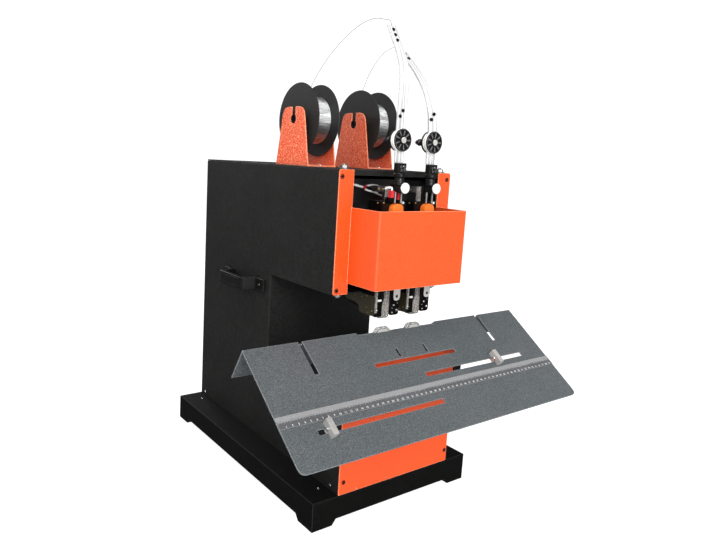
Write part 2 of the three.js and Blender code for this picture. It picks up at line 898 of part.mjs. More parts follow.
// Wire routes between the winding and the guide strip: across from the machine's middle, then
// back and up from the spool axles
const leftWireRoute = [
  [-70, 17.4, 60.4],
  [-66, 1, 86.3],
  [-60.5, -31, 119],
  [-54.4, -66.3, 144.6],
  [-50.6, -96.8, 158.5],
  [-45, -121, 163.2],
  [-39, -138.5, 159.8],
];
const rightWireRoute = [
  [42, 7.7, 66.7],
  [40.8, -8.1, 91.4],
  [39.7, -29.1, 112.9],
  [38.5, -50.1, 126.9],
  [37, -76.2, 133.3],
];

// Guide strips: a straight foot and a bend to the back, drawn in (Y, Z)
const stripLine = headFace - stripLead;
const stripFoot = inletTop + seatGap;
const leftStripShares = { firstLift: 0.45, lastBack: 0.3, lastDrop: 0.27 };
const rightStripShares = { firstLift: 0.5, lastBack: 0.35, lastDrop: 0.2 };

function stripCurve(bend, top, sweep, shares) {
  const rise = top - bend;
  const path = new THREE.CurvePath();
  const foot = new THREE.Vector2(stripLine, stripFoot);
  const start = new THREE.Vector2(stripLine, bend);
  const end = new THREE.Vector2(stripLine + sweep, top);
  const lift = new THREE.Vector2(stripLine, bend + rise * shares.firstLift);
  const lead = new THREE.Vector2(end.x - sweep * shares.lastBack, end.y - rise * shares.lastDrop);
  path.add(new THREE.LineCurve(foot, start));
  path.add(new THREE.CubicBezierCurve(start, lift, lead, end));
  return path;
}

function stripOutline(path) {
  const curve = path.curves[1];
  const near = [];
  const far = [];
  const place = (point, tangent) => {
    const aside = new THREE.Vector2(-tangent.y, tangent.x).multiplyScalar(stripThickness / 2);
    near.push(point.clone().add(aside));
    far.unshift(point.clone().sub(aside));
  };
  place(path.curves[0].getPoint(0), path.curves[0].getTangent(0));
  for (let step = 0; step <= bendSteps; step += 1) {
    place(curve.getPoint(step / bendSteps), curve.getTangent(step / bendSteps));
  }
  return new THREE.Shape([...far, ...near]);
}

function makeStrip(path) {
  const strip = prism('x', stripOutline(path), about(0, stripWidth));
  const hole = bar('y', tensionAxleRadius + seatGap, about(stripLine, 2 * overrun), [0, tensionHeight]);
  return cut(strip, hole);
}

// A cord along a smooth curve through points
function cordGeometry(points, radius) {
  const curve = new THREE.CatmullRomCurve3(points);
  const section = new THREE.Shape();
  for (let side = 0; side < cordSides; side += 1) {
    const turn = side * 2 * Math.PI / cordSides;
    const place = [Math.cos(turn) * radius, Math.sin(turn) * radius];
    if (side === 0) section.moveTo(...place);
    else section.lineTo(...place);
  }
  section.closePath();
  return new THREE.ExtrudeGeometry(section, { steps: cordSteps, extrudePath: curve });
}

for (const stand of [
  {
    side: 'left',
    place: leftBracketPlace,
    winding: [windingStart, windingEnd],
    angle: leftWireAngle,
    start: leftWireStart,
    across: -headSpacing / 2,
    strip: stripCurve(leftStripBend, leftStripTop, leftStripSweep, leftStripShares),
    route: leftWireRoute,
  },
  {
    side: 'right',
    place: rightBracketPlace,
    winding: [windingEnd, windingStart],
    angle: rightWireAngle,
    start: rightWireStart,
    across: headSpacing / 2,
    strip: stripCurve(rightStripBend, rightStripTop, rightStripSweep, rightStripShares),
    route: rightWireRoute,
  },
]) {
  const bracket = new THREE.Group();
  bracket.position.set(stand.place, spoolLine, standBase);
  machine.add(bracket);
  addPart(`${stand.side}_spool_bracket`, makeSpoolBracket(), 'orangePaint', bracket);
  const axle = new THREE.Group();
  axle.position.z = axleLevel;
  bracket.add(axle);
  addPart(`${stand.side}_spool_axle`, makeSpoolAxle(), 'blackPlastic', axle);
  addPart(`${stand.side}_spool`, makeSpool(), 'blackPlastic', axle);
  const rings = windingRings(...stand.winding, stand.angle);
  const winding = windingGeometry(rings);
  console.log(`${stand.side}_winding least gap ${leastGap(winding).toFixed(2)} mm`);
  addPart(`${stand.side}_winding`, winding, 'woundWire', axle);

  const strip = addPart(`${stand.side}_guide_strip`, makeStrip(stand.strip), 'brightSteel');
  strip.position.x = stand.across;

  const last = rings.at(-1);
  const leave = last.centre.clone().addScaledVector(last.forward, -windingWire);
  leave.addScaledVector(last.outward, wireSeat - coilRadius);
  const axlePlace = new THREE.Vector3(0, spoolLine, standBase + axleLevel);
  leave.add(axlePlace);
  leave.x = stand.place + stand.start;
  const stripEnd = stand.strip.curves[1].getPoint(1);
  const stripAhead = stand.strip.curves[1].getTangent(1);
  const arrive = new THREE.Vector3(stand.across, stripEnd.x, stripEnd.y);
  const ahead = new THREE.Vector3(0, stripAhead.x, stripAhead.y);
  const points = [
    leave,
    leave.clone().addScaledVector(last.forward, windingRadius / 2),
    ...stand.route.map((point) => new THREE.Vector3(...point).add(axlePlace)),
    arrive.clone().addScaledVector(ahead, seatGap + stripWidth / 2),
    arrive.clone().addScaledVector(ahead, seatGap),
  ];
  addPart(`${stand.side}_stitch_wire`, cordGeometry(points, stitchWire / 2), 'woundWire');
}

// Stitching heads, drawn about the middle of one head
const headTop = headBottom + headHeight;
const driverFront = anvilLine - driverThickness / 2;
const driverBack = anvilLine + driverThickness / 2;
const channelFront = driverFront - slideGap;
const driverRange = about(driverShift, driverWidth);
const channelRange = about(driverShift, driverWidth + 2 * seatGap);
const pivotLine = headFace - seatGap - leverThickness / 2;
const collarBack = headFace - seatGap;
const collarFront = collarBack - collarDepth;
const neckLine = headFace - inletLead - inletDepth / 2;

function makeHeadBody() {
  const sideOutline = outline([
    [headFace, headBottom],
    [headFace, headTop, headCorner],
    [upperBack, headTop],
    [upperBack, headShoulder],
    [beamFront - seatGap, headShoulder, headCorner],
    [beamFront - seatGap, headBottom + cheekRise],
  ]);
  const faceOutline = outline([
    [-headWidth / 2, headBottom],
    [headWidth / 2, headBottom, headCorner],
    [headWidth / 2, headTop],
    [-headWidth / 2, headTop],
  ]);
  const block = prism('x', sideOutline, about(0, headWidth));
  const face = prism('y', faceOutline, [headFace, beamFront]);
  const strapOutline = outline([
    [strapShift - strapWidth / 2, strapBottom, strapWidth / 2],
    [strapShift + strapWidth / 2, strapBottom, strapWidth / 2],
    [strapShift + strapWidth / 2, strapTop, strapWidth / 4],
    [strapShift - strapWidth / 2, strapTop, strapWidth / 4],
  ]);
  const strap = prism('y', strapOutline, [headFace - strapThickness, headFace + sheet]);
  const boss = slab(about(0, bossWidth), [headFace, channelFront], [headTop - headCorner - sheet, bossTop]);
  const lugBack = headFace + sheet;
  const lugFront = pivotLine - leverThickness / 2;
  const lugHeight = about(leverPivotHeight, leverThickness);
  const lugStart = leverWidth / 2 + seatGap;
  const lugs = [
    slab([lugStart, lugStart + lugThickness], [lugFront, lugBack], lugHeight),
    slab([-lugStart - lugThickness, -lugStart], [lugFront, lugBack], lugHeight),
  ];
  const pin = bar('x', leverPin, about(0, 2 * lugStart + lugThickness), [pivotLine, leverPivotHeight]);
  const channelDepth = [channelFront, driverBack + slideGap];
  const channel = slab(channelRange, channelDepth, [headBottom - overrun, bossTop]);
  const window = slab(channelRange, [headFace - overrun, anvilLine], [headBottom - overrun, driverWindow]);
  const stemRange = [headFace - overrun, headFace + stemSeat + seatGap];
  const stemBore = bar('y', stemRadius + seatGap, stemRange, [0, feedKnobHeight]);
  const strapRange = [headFace - strapThickness - overrun, headFace + sheet];
  const strapBore = bar('y', strapHole, strapRange, [strapShift, strapHoleHeight]);
  const whole = join(block.intersect(face), strap, boss, pin, ...lugs);
  return cut(whole, channel, window, stemBore, strapBore);
}

function makeDriverBar() {
  const plate = slab(driverRange, [driverFront, driverBack], [driverTip, driverTop]);
  const holeLine = driverRange[0] + driverHoleWidth;
  const holeOutline = outline([
    [holeLine - driverHoleWidth / 2, driverHoleBottom, driverHoleWidth / 2],
    [holeLine + driverHoleWidth / 2, driverHoleBottom, driverHoleWidth / 2],
    [holeLine + driverHoleWidth / 2, driverHoleTop, driverHoleWidth / 2],
    [holeLine - driverHoleWidth / 2, driverHoleTop, driverHoleWidth / 2],
  ]);
  return cut(plate, prism('y', holeOutline, [driverFront - overrun, driverBack + overrun]));
}

function makeWireInlet() {
  const blockBottom = inletTop - inletHeight;
  const collarTop = collarBottom + collarHeight;
  const block = slab(about(0, inletWidth), about(neckLine, inletDepth), [blockBottom, inletTop]);
  const collar = slab(about(0, inletWidth), [collarFront, collarBack], [collarBottom, collarTop]);
  const neck = bar('z', neckRadius - ribDepth, [collarTop - sheet, blockBottom + sheet], [0, neckLine]);
  const ribStep = (blockBottom - collarTop) / ribCount;
  const ribs = [];
  for (let rib = 0; rib < ribCount; rib += 1) {
    const middle = collarTop + (rib + 1 / 2) * ribStep;
    ribs.push(bar('z', neckRadius, about(middle, ribStep / 2), [0, neckLine]));
  }
  const rods = [-rodSpread, rodSpread].map((place) => bar(
    'z',
    rodRadius,
    [collarBottom - rodLength, collarBottom + sheet],
    [place, neckLine],
  ));
  const stemRange = [collarFront - overrun, collarBack + overrun];
  const bore = bar('y', stemRadius + seatGap, stemRange, [0, feedKnobHeight]);
  return cut(join(block, collar, neck, ...ribs, ...rods), bore);
}

function makeFeedKnob() {
  const back = collarFront - seatGap;
  const centre = [0, feedKnobHeight];
  const disc = bar('y', feedKnobRadius, [back - feedKnobThickness, back], centre, roundSides);
  const stem = bar('y', stemRadius, [back - sheet, headFace + stemSeat], centre);
  return join(disc, stem);
}

function makeFeedLever() {
  const half = leverThickness / 2;
  const side = new THREE.Shape();
  side.moveTo(pivotLine + half, leverPivotHeight);
  side.lineTo(pivotLine + half, leverTop);
  side.lineTo(pivotLine - half, leverTop);
  side.lineTo(pivotLine - half, leverPivotHeight);
  side.absarc(pivotLine, leverPivotHeight, half, Math.PI, 2 * Math.PI);
  const front = outline([
    [-leverWidth / 2, leverPivotHeight - leverThickness],
    [leverWidth / 2, leverPivotHeight - leverThickness],
    [leverWidth / 2, leverTop, leverCorner],
    [-leverWidth / 2, leverTop, leverCorner],
  ]);
  const blank = prism('x', side, about(0, leverWidth), bendSteps);
  const shape = prism('y', front, about(pivotLine, 2 * leverThickness));
  const bore = bar('x', leverPin + seatGap, about(0, leverWidth + overrun), [pivotLine, leverPivotHeight]);
  return cut(blank.intersect(shape), bore);
}

// Tension unit on the strip: knob in front, plate behind, both on one axle with a nut
const stripFront = stripLine - stripThickness / 2;
const stripBack = stripLine + stripThickness / 2;
const tensionKnobBack = stripFront - feltThickness;
const tensionKnobFront = tensionKnobBack - tensionKnobThickness;
const tensionPlateFront = stripBack + seatGap;
const tensionPlateBack = tensionPlateFront + tensionPlateThickness;
const tensionBore = tensionAxleRadius + seatGap;

function makeTensionKnob() {
  const range = [tensionKnobFront, tensionKnobBack];
  const through = [tensionKnobFront - overrun, tensionKnobBack + overrun];
  const disc = bar('y', tensionKnobRadius, range, [0, tensionHeight], roundSides);
  const holes = [bar('y', tensionBore, through, [0, tensionHeight])];
  for (let spoke = 0; spoke < tensionSpokes; spoke += 1) {
    const turn = spoke * 2 * Math.PI / tensionSpokes;
    const across = Math.cos(turn) * tensionSpokePlace;
    const up = tensionHeight + Math.sin(turn) * tensionSpokePlace;
    holes.push(bar('y', tensionSpokeHole, through, [across, up]));
  }
  return cut(disc, ...holes);
}

function makeTensionPlate() {
  const centre = [0, tensionHeight];
  const disc = bar('y', tensionPlateRadius, [tensionPlateFront, tensionPlateBack], centre, roundSides);
  const through = [tensionPlateFront - overrun, tensionPlateBack + overrun];
  return cut(disc, bar('y', tensionBore, through, centre));
}

function makeTensionAxle() {
  const centre = [0, tensionHeight];
  const capBack = tensionKnobFront - seatGap;
  const tail = tensionPlateBack + tensionAxleTail;
  const cap = bar('y', tensionCapRadius, [capBack - tensionCapThickness, capBack], centre, roundSides);
  const rod = bar('y', tensionAxleRadius, [capBack - sheet / 2, tail], centre);
  const nut = bar('y', tensionNutRadius, [tail - tensionNutLength, tail], centre, nutSides);
  return join(cap, rod, nut);
}

// Clincher: an arched plate with two grooves that bend the wire's legs
function makeClincher() {
  const shape = outline([
    [-clincherBase / 2, 0],
    [clincherBase / 2, 0],
    [clincherTop / 2, clincherHeight, clincherHeight / 2],
    [-clincherTop / 2, clincherHeight, clincherHeight / 2],
  ]);
  const range = about(anvilLine, clincherThickness);
  const through = about(anvilLine, clincherThickness + 2 * overrun);
  const grooves = [-clincherGrooveSpread, clincherGrooveSpread].map((place) => bar(
    'y',
    clincherGroove,
    through,
    [place, clincherHeight],
  ));
  return cut(prism('y', shape, range), ...grooves);
}

for (const [side, across] of [['left', -headSpacing / 2], ['right', headSpacing / 2]]) {
  const head = new THREE.Group();
  head.position.x = across;
  machine.add(head);
  addPart(`${side}_head_body`, makeHeadBody(), 'blackSteel', head);
  addPart(`${side}_driver_bar`, makeDriverBar(), 'brightSteel', head);
  addPart(`${side}_wire_inlet`, makeWireInlet(), 'blackPlastic', head);
  addPart(`${side}_feed_knob`, makeFeedKnob(), 'whitePlastic', head);
  addPart(`${side}_feed_lever`, makeFeedLever(), 'orangePaint', head);
  addPart(`${side}_tension_knob`, makeTensionKnob(), 'blackPlastic', head);
  addPart(`${side}_tension_plate`, makeTensionPlate(), 'blackPlastic', head);
  addPart(`${side}_tension_axle`, makeTensionAxle(), 'brightSteel', head);
  const clincher = new THREE.Group();
  clincher.position.set(across, 0, postTop + seatGap);
  machine.add(clincher);
  addPart(`${side}_clincher`, makeClincher(), 'brightSteel', clincher);
}

// Clincher post on the nose of the arm
const postBottom = noseTop + seatGap;
const post = slab(about(0, 2 * postReach), about(anvilLine, postThickness), [postBottom, postTop]);
const postFoot = slab(
  about(0, 2 * postReach),
  about(anvilLine, postFootDepth),
  [postBottom, postBottom + postFootHeight],
);
addPart('clincher_post', join(post, postFoot), 'darkSteel');

// Drive: the crank pin runs in the yoke's slot and lowers the ram bar with both driver bars
const discBack = beamFront - crankLead;
const discFront = discBack - crankDiscThickness;
const yokeBack = discFront - seatGap;
const yokeFront = yokeBack - yokeThickness;
const ramFront = driverBack + seatGap;
const ramBack = ramFront + ramDepth;
const pinTop = crankHeight + crankRadius;
const ramRange = [driverTop - ramHeight, driverTop];

function makeRamBar() {
  const beam = slab(about(0, 2 * ramReach), [ramFront, ramBack], ramRange);
  const bridge = slab(about(0, yokeWidth), [ramBack - sheet, yokeBack], ramRange);
  const yoke = slab(about(0, yokeWidth), [yokeFront, yokeBack], [driverTop - yokeHeight, driverTop]);
  const slot = slab(
    about(0, 2 * yokeSlotReach),
    [yokeFront - overrun, yokeBack + overrun],
    about(pinTop, 2 * (crankPinRadius + pivotPlay)),
  );
  return cut(join(beam, bridge, yoke), slot);
}
addPart('ram_bar', makeRamBar(), 'darkSteel');

const beamPlate = slab(innerWidth, [beamFront, beamBack], [headFloorHeight + sheet + seatGap, beamTop]);
const shaftBore = bar(
  'y',
  shaftRadius + seatGap,
  [beamFront - overrun, beamBack + seatGap + shaftSeat + seatGap],
  [0, crankHeight],
  roundSides,
);
addPart('head_beam', cut(beamPlate, shaftBore), 'darkSteel');

const crankDisc = bar('y', crankDiscRadius, [discFront, discBack], [0, crankHeight], roundSides);
const crankPin = bar('y', crankPinRadius, [yokeFront - seatGap, discFront + sheet], [0, pinTop]);
const driveShaft = bar(
  'y',
  shaftRadius,
  [discBack - sheet, beamBack + seatGap + shaftSeat],
  [0, crankHeight],
  roundSides,
);
addPart('drive_shaft', join(crankDisc, crankPin, driveShaft), 'brightSteel');

const motorOutline = outline([
  [-motorWidth / 2, crankHeight - motorHeight / 2, motorCorner],
  [motorWidth / 2, crankHeight - motorHeight / 2, motorCorner],
  [motorWidth / 2, crankHeight + motorHeight / 2, motorCorner],
  [-motorWidth / 2, crankHeight + motorHeight / 2, motorCorner],
]);
const motorFront = beamBack + seatGap;
const motor = prism('y', motorOutline, [motorFront, motorFront + motorLength]);
addPart('drive_motor', cut(motor, shaftBore), 'motorPaint');

// Tie rods through the top cover and the head floor
function makeTieRod() {
  const topSeat = bodyTop + seatGap;
  const floorSeat = headFloorHeight - seatGap;
  const nutSeat = topSeat + washerHeight;
  const washer = bar('z', washerRadius, [topSeat, nutSeat], [0, 0], roundSides);
  const topNut = bar('z', nutRadius, [nutSeat - washerHeight / 2, nutSeat + nutHeight], [0, 0], nutSides);
  const lowNut = bar('z', nutRadius, [floorSeat - nutHeight, floorSeat], [0, 0], nutSides);
  const rodRange = [floorSeat - nutHeight - tieRodEnd, nutSeat + nutHeight + tieRodEnd];
  return join(bar('z', tieRodRadius, rodRange, [0, 0]), washer, topNut, lowNut);
}
for (const [side, across] of [['left', -tieRodSpread], ['right', tieRodSpread]]) {
  const tieRod = addPart(`${side}_tie_rod`, makeTieRod(), 'brightSteel');
  tieRod.position.set(across, tieRodLine, 0);
}

// Rocker switch, seated in the hole of the right side panel
const rockerFace = bodySide + switchProud;
const rockerBack = bodySide - switchDepth;
const rockerOutline = outline([
  [rockerBack, switchHeight - switchLength / 4],
  [rockerFace, switchHeight - switchLength / 2],
  [rockerFace - switchProud / 2, switchHeight],
  [rockerFace, switchHeight + switchLength / 2],
  [rockerBack, switchHeight + switchLength / 4],
]);
addPart('rocker_switch', prism('y', rockerOutline, about(switchLine, switchWidth)), 'blackPlastic');

// Terminals on the beam and the sleeved lead that runs to them from the left side panel
const terminalBack = beamFront - seatGap;
const terminalFront = terminalBack - terminalDepth;
const terminalRange = [terminalBottom, terminalBottom + terminalHeight];
const terminalMiddle = terminalStart + terminalWidth / 2;
const terminalEnd = terminalStart + terminalWidth;
const terminalFoot = slab(
  [terminalStart, terminalEnd],
  [terminalBack - terminalPlate, terminalBack],
  terminalRange,
);
const nearTerminal = [terminalStart, terminalMiddle - terminalSplit / 2];
const farTerminal = [terminalMiddle + terminalSplit / 2, terminalEnd];
const terminalBlocks = [nearTerminal, farTerminal].map((across) => slab(
  across,
  [terminalFront, terminalBack],
  terminalRange,
));
addPart('terminal_block', join(terminalFoot, ...terminalBlocks), 'redPlastic');

// The lead's route: across from the machine's middle, then in front of the beam and over the terminals
const leadRoute = [
  [-95, -13, 27],
  [-69, -11.5, 24],
  [-22.6, -10, 14.6],
];
function makeLead() {
  const endAcross = terminalStart - seatGap;
  const endPlace = [(terminalFront + terminalBack) / 2, terminalBottom + terminalHeight / 2];
  const route = leadRoute.map(([across, back, up]) => [across, beamFront + back, terminalBottom + up]);
  const [, startY, startZ] = route[0];
  const points = [
    [-innerSide, startY, startZ],
    [leadStraight - innerSide, startY, startZ],
    ...route,
    [endAcross - leadStraight, ...endPlace],
    [endAcross, ...endPlace],
  ];
  return cordGeometry(points.map((point) => new THREE.Vector3(...point)), leadRadius);
}
addPart('sensor_lead', makeLead(), 'whitePlastic');

export default machine;
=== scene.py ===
"""A desk wire stitching machine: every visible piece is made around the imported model."""

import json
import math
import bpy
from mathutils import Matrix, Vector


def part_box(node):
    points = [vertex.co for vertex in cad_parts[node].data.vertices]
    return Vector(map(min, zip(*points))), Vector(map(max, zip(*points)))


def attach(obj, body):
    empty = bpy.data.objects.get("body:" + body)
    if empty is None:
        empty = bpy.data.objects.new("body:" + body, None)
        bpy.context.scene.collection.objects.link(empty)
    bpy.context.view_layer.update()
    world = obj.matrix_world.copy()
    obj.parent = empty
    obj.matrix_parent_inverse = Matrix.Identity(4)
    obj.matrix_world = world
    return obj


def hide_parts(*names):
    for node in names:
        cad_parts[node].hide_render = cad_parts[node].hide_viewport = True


bl_info = {
    "name": "Wire Stitching Machine",
    "version": (1, 0, 0),
    "blender": (4, 5, 0),
    "location": "3D View > Sidebar > Stitcher",
    "description": "Makes a wire stitching machine piece by piece around its packed model",
    "category": "Object",
}

from functools import cache

import bmesh
import bpy
from bpy.props import FloatProperty, FloatVectorProperty, IntProperty, PointerProperty
from mathutils import Matrix, Vector

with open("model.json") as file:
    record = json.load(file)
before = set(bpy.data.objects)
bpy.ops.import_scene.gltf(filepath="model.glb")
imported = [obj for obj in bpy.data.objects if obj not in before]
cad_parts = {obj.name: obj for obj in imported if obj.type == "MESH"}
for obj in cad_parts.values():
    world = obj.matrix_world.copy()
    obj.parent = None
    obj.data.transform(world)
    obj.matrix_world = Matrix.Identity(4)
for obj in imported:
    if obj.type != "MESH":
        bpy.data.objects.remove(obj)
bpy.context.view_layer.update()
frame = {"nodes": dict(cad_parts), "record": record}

# Places are given in millimetres: X from the machine's middle, Y from the tray's middle, Z up.
MM = 0.001
TRAY_LOW, TRAY_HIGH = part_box("base_tray")
TRAY_MIDDLE = (TRAY_LOW.y + TRAY_HIGH.y) / 2
TO_FRAME = Matrix.Translation((0, TRAY_MIDDLE, 0)) @ Matrix.Scale(MM, 4)
SIDES = {"left": -1, "right": 1}


def span(node):
    """The lowest and highest corner of a CAD node, in millimetres over the tray's middle."""
    back = TO_FRAME.inverted()
    low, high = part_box(node)
    return back @ low, back @ high


def core(node):
    """The middle of a CAD node's box."""
    return tuple((low + high) / 2 for low, high in zip(*span(node)))


TRAY = span("base_tray")
PANEL = span("left_side_panel")
GUARD = span("front_guard")
FRONT_PANEL = span("lower_front_panel")
TABLE = span("saddle_table")
HEAD_X = {side: core(f"{side}_clincher")[0] for side in SIDES}
# Faces and lines that lie on no CAD node's box
HEAD_FACE = -247
INLET_LINE = -255.1
STRIP_SCREW_FACE = -251.7
HANDLE_FOOT_FACE = 128.1
SWITCH_WALL, SWITCH_BEZEL = 125, 126.6
TABLE_SLOPE = math.radians(36)
RIDGE = Vector((0, -237, TABLE[1].z))
SLOPE = Matrix.Translation(RIDGE) @ Matrix.Rotation(TABLE_SLOPE, 4, "X")
SLOPE_OUT = (0, -math.sin(TABLE_SLOPE), math.cos(TABLE_SLOPE))
FRONT, BACK, UPWARD = (0, -1, 0), (0, 1, 0), (0, 0, 1)
OUTWARD = {"left": (-1, 0, 0), "right": (1, 0, 0)}


# Outlines and profiles

def hexed(apothem, turn):
    """How far the side of a hexagon lies from its middle in one direction."""
    return apothem / math.cos((turn + math.pi / 6) % (math.pi / 3) - math.pi / 6)


def rounded(corners, steps=4, x=0):
    """An outline whose corners, (across, up, radius), are rounded; x shifts it across."""
    points = []
    spots = [Vector((x + corner[0], corner[1])) for corner in corners]
    for index, corner in enumerate(corners):
        here = spots[index]
        radius = corner[2] if len(corner) > 2 else 0
        if not radius:
            points.append(here)
            continue
        start = here + (spots[index - 1] - here).normalized() * radius
        end = here + (spots[(index + 1) % len(spots)] - here).normalized() * radius
        for step in range(steps + 1):
            share = step / steps
            points.append(
                start * (1 - share) ** 2 + here * 2 * share * (1 - share) + end * share ** 2
            )
    return points


def slab(across, up, radii=(0, 0, 0, 0), steps=4, x=0):
    """A rounded rectangle; its radii go round from the low left corner."""
    (left, right), (low, high) = across, up
    corners = ((left, low), (right, low), (right, high), (left, high))
    return rounded([(*corner, radius) for corner, radius in zip(corners, radii)], steps, x)


def shifted(rows, start):
    """A profile whose second values are counted from a start."""
    return [(row[0], start + row[1], *row[2:]) for row in rows]


def both_ends(rows, near, far):
    """A profile at the near end and its mirror image at the far end."""
    return shifted(rows, near) + [(row[0], far - row[1], *row[2:]) for row in reversed(rows)]


def smooth_path(points, count):
    """Evenly spaced points on a smooth curve through all the given ones."""
    points = [Vector(point) for point in points]
    knots = [2 * points[0] - points[1], *points, 2 * points[-1] - points[-2]]
    fine = []

    def between(one, other, low, high, time):
        return one * ((high - time) / (high - low)) + other * ((time - low) / (high - low))

    for index in range(1, len(knots) - 2):
        four = knots[index - 1:index + 3]
        times = [0.0]
        for one, other in zip(four, four[1:]):
            times.append(times[-1] + max((other - one).length, 1e-6) ** 0.5)
        for step in range(16):
            time = times[1] + (times[2] - times[1]) * step / 16
            first = [between(four[k], four[k + 1], times[k], times[k + 1], time) for k in range(3)]
            second = [between(first[k], first[k + 1], times[k], times[k + 2], time) for k in range(2)]
            fine.append(between(second[0], second[1], times[1], times[2], time))
    fine.append(points[-1])
    lengths = [0.0]
    for one, other in zip(fine, fine[1:]):
        lengths.append(lengths[-1] + (other - one).length)
    spaced = []
    place = 0
    for step in range(count):
        wanted = lengths[-1] * step / (count - 1)
        while place < len(fine) - 2 and lengths[place + 1] < wanted:
            place += 1
        share = (wanted - lengths[place]) / max(lengths[place + 1] - lengths[place], 1e-9)
        spaced.append(fine[place].lerp(fine[place + 1], min(share, 1.0)))
    return spaced


# Meshes and pieces

class Form:
    """A mesh gathered from blocks, drawn outlines, turned profiles and tubes, in millimetres."""

    def __init__(self):
        self.mesh = bmesh.new()

    def add(self, points, faces, place=None):
        place = place or Matrix()
        made = [self.mesh.verts.new(place @ Vector(point)) for point in points]
        for face in faces:
            self.mesh.faces.new([made[corner] for corner in face])
        return made

    def soften(self, edges, edge, steps):
        if edge:
            bmesh.ops.bevel(
                self.mesh, geom=list(edges), offset=edge, segments=steps, profile=0.5,
                affect="EDGES", clamp_overlap=True,
            )
        return self

    def block(self, x, y, z, edge, steps=2, place=None):
        points = [(across, back, up) for across in x for back in y for up in z]
        faces = [(0, 1, 3, 2), (4, 6, 7, 5), (0, 4, 5, 1), (2, 3, 7, 6), (0, 2, 6, 4), (1, 5, 7, 3)]
        made = self.add(points, faces, place)
        return self.soften({link for point in made for link in point.link_edges}, edge, steps)

    def drawn(self, shape, axis, reach, edge, steps=2, place=None):
        """An outline pushed along an axis: (Y, Z) for x, (X, Z) for y and (X, Y) for z."""
        count = len(shape)
        points = [
            {"x": (level, a, b), "y": (a, level, b), "z": (a, b, level)}[axis]
            for level in reach for a, b in shape
        ]
        faces = [tuple(range(count))[::-1], tuple(range(count, 2 * count))]
        for step in range(count):
            ahead = (step + 1) % count
            faces.append((step, ahead, count + ahead, count + step))
        made = self.add(points, faces, place)
        near, far = set(made[:count]), set(made[count:])
        rims = {
            link for point in made for link in point.link_edges
            if set(link.verts) <= near or set(link.verts) <= far
        }
        return self.soften(rims, edge, steps)

    def turned(self, profile, axis, centre, steps=48, ring=False):
        """A profile of (radius, along) turned about an axis; a third value makes that ring a hexagon."""
        rows = []
        for radius, along, *sided in profile:
            row = []
            for step in range(steps if radius > 0 else 1):
                angle = 2 * math.pi * step / steps
                reach = hexed(radius, angle) if sided else radius
                a = centre[0] + reach * math.cos(angle)
                b = centre[1] + reach * math.sin(angle)
                point = {"x": (along, a, b), "y": (a, along, b), "z": (a, b, along)}[axis]
                row.append(self.mesh.verts.new(point))
            rows.append(row)
        pairs = list(zip(rows, rows[1:]))
        if ring:
            pairs.append((rows[-1], rows[0]))
        for low, high in pairs:
            for step in range(steps):
                ahead = (step + 1) % steps
                if len(low) == 1 and len(high) == 1:
                    continue
                if len(low) == 1:
                    corners = (low[0], high[step], high[ahead])
                elif len(high) == 1:
                    corners = (low[step], low[ahead], high[0])
                else:
                    corners = (low[step], low[ahead], high[ahead], high[step])
                self.mesh.faces.new(corners)
        return self

    def tube(self, path, radius, sides=12):
        """A round tube along points, closed at both ends."""
        ahead = (path[1] - path[0]).normalized()
        aside = ahead.orthogonal().normalized()
        points = []
        for index, point in enumerate(path):
            before = path[max(index - 1, 0)]
            after = path[min(index + 1, len(path) - 1)]
            now = (after - before).normalized()
            aside = (aside - now * aside.dot(now)).normalized()
            other = now.cross(aside)
            for k in range(sides):
                turn = 2 * math.pi * k / sides
                points.append(point + (aside * math.cos(turn) + other * math.sin(turn)) * radius)
        faces = [tuple(range(sides))[::-1]]
        for near in range(0, len(points) - sides, sides):
            for k in range(sides):
                far, step = near + sides, (k + 1) % sides
                faces.append((near + k, near + step, far + step, far + k))
        faces.append(tuple(range(len(points) - sides, len(points))))
        self.add(points, faces)
        return self

    def data(self, name, to_frame=True):
        """The finished mesh, its faces pointing outward."""
        bmesh.ops.recalc_face_normals(self.mesh, faces=self.mesh.faces)
        mesh = bpy.data.meshes.new(name)
        self.mesh.to_mesh(mesh)
        self.mesh.free()
        if to_frame:
            mesh.transform(TO_FRAME)
        return mesh

    def make(self, name, look, slot, replaces=(), body="frame", crisp=35):
        return place_piece(name, self.data(name), look, replaces, body, crisp)


def evaluated_mesh(obj):
    """A plain mesh of what an object's modifiers give."""
    bpy.context.view_layer.update()
    graph = bpy.context.evaluated_depsgraph_get()
    return bpy.data.meshes.new_from_object(
        obj.evaluated_get(graph), preserve_all_data_layers=True, depsgraph=graph
    )


def temporary(name, data):
    obj = bpy.data.objects.new(name, data)
    bpy.context.scene.collection.objects.link(obj)
    return obj


def place_piece(name, mesh, look, replaces=(), body="frame", crisp=35, bevel=0.0,
                bevel_angle=40, steps=2):
    """Finishes a mesh, links it and lets it ride on its body."""
    if not mesh.polygons:
        raise RuntimeError(f"{name} has no faces")
    mesh.materials.clear()
    mesh.materials.append(finishes()[look])
    obj = temporary(name, mesh)
    if bevel:
        edge = obj.modifiers.new("edges", "BEVEL")
        edge.width = bevel
        edge.segments = steps
        edge.limit_method = "ANGLE"
        edge.angle_limit = math.radians(bevel_angle)
        mesh = evaluated_mesh(obj)
        obj.modifiers.clear()
        obj.data = mesh
    mesh.shade_smooth()
    mesh.set_sharp_from_angle(angle=math.radians(crisp))
    level = obj.modifiers.new("shading", "WEIGHTED_NORMAL")
    level.keep_sharp = True
    mesh = evaluated_mesh(obj)
    obj.modifiers.clear()
    obj.data = mesh
    mesh.name = name
    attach(obj, body)
    if replaces:
        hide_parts(*replaces)
    return obj


def body_of(node):
    """The body that a CAD node belongs to."""
    for body, members in frame["record"]["behaviour"]["bodies"].items():
        if node in members:
            return body
    raise RuntimeError(f"{node} belongs to no body")


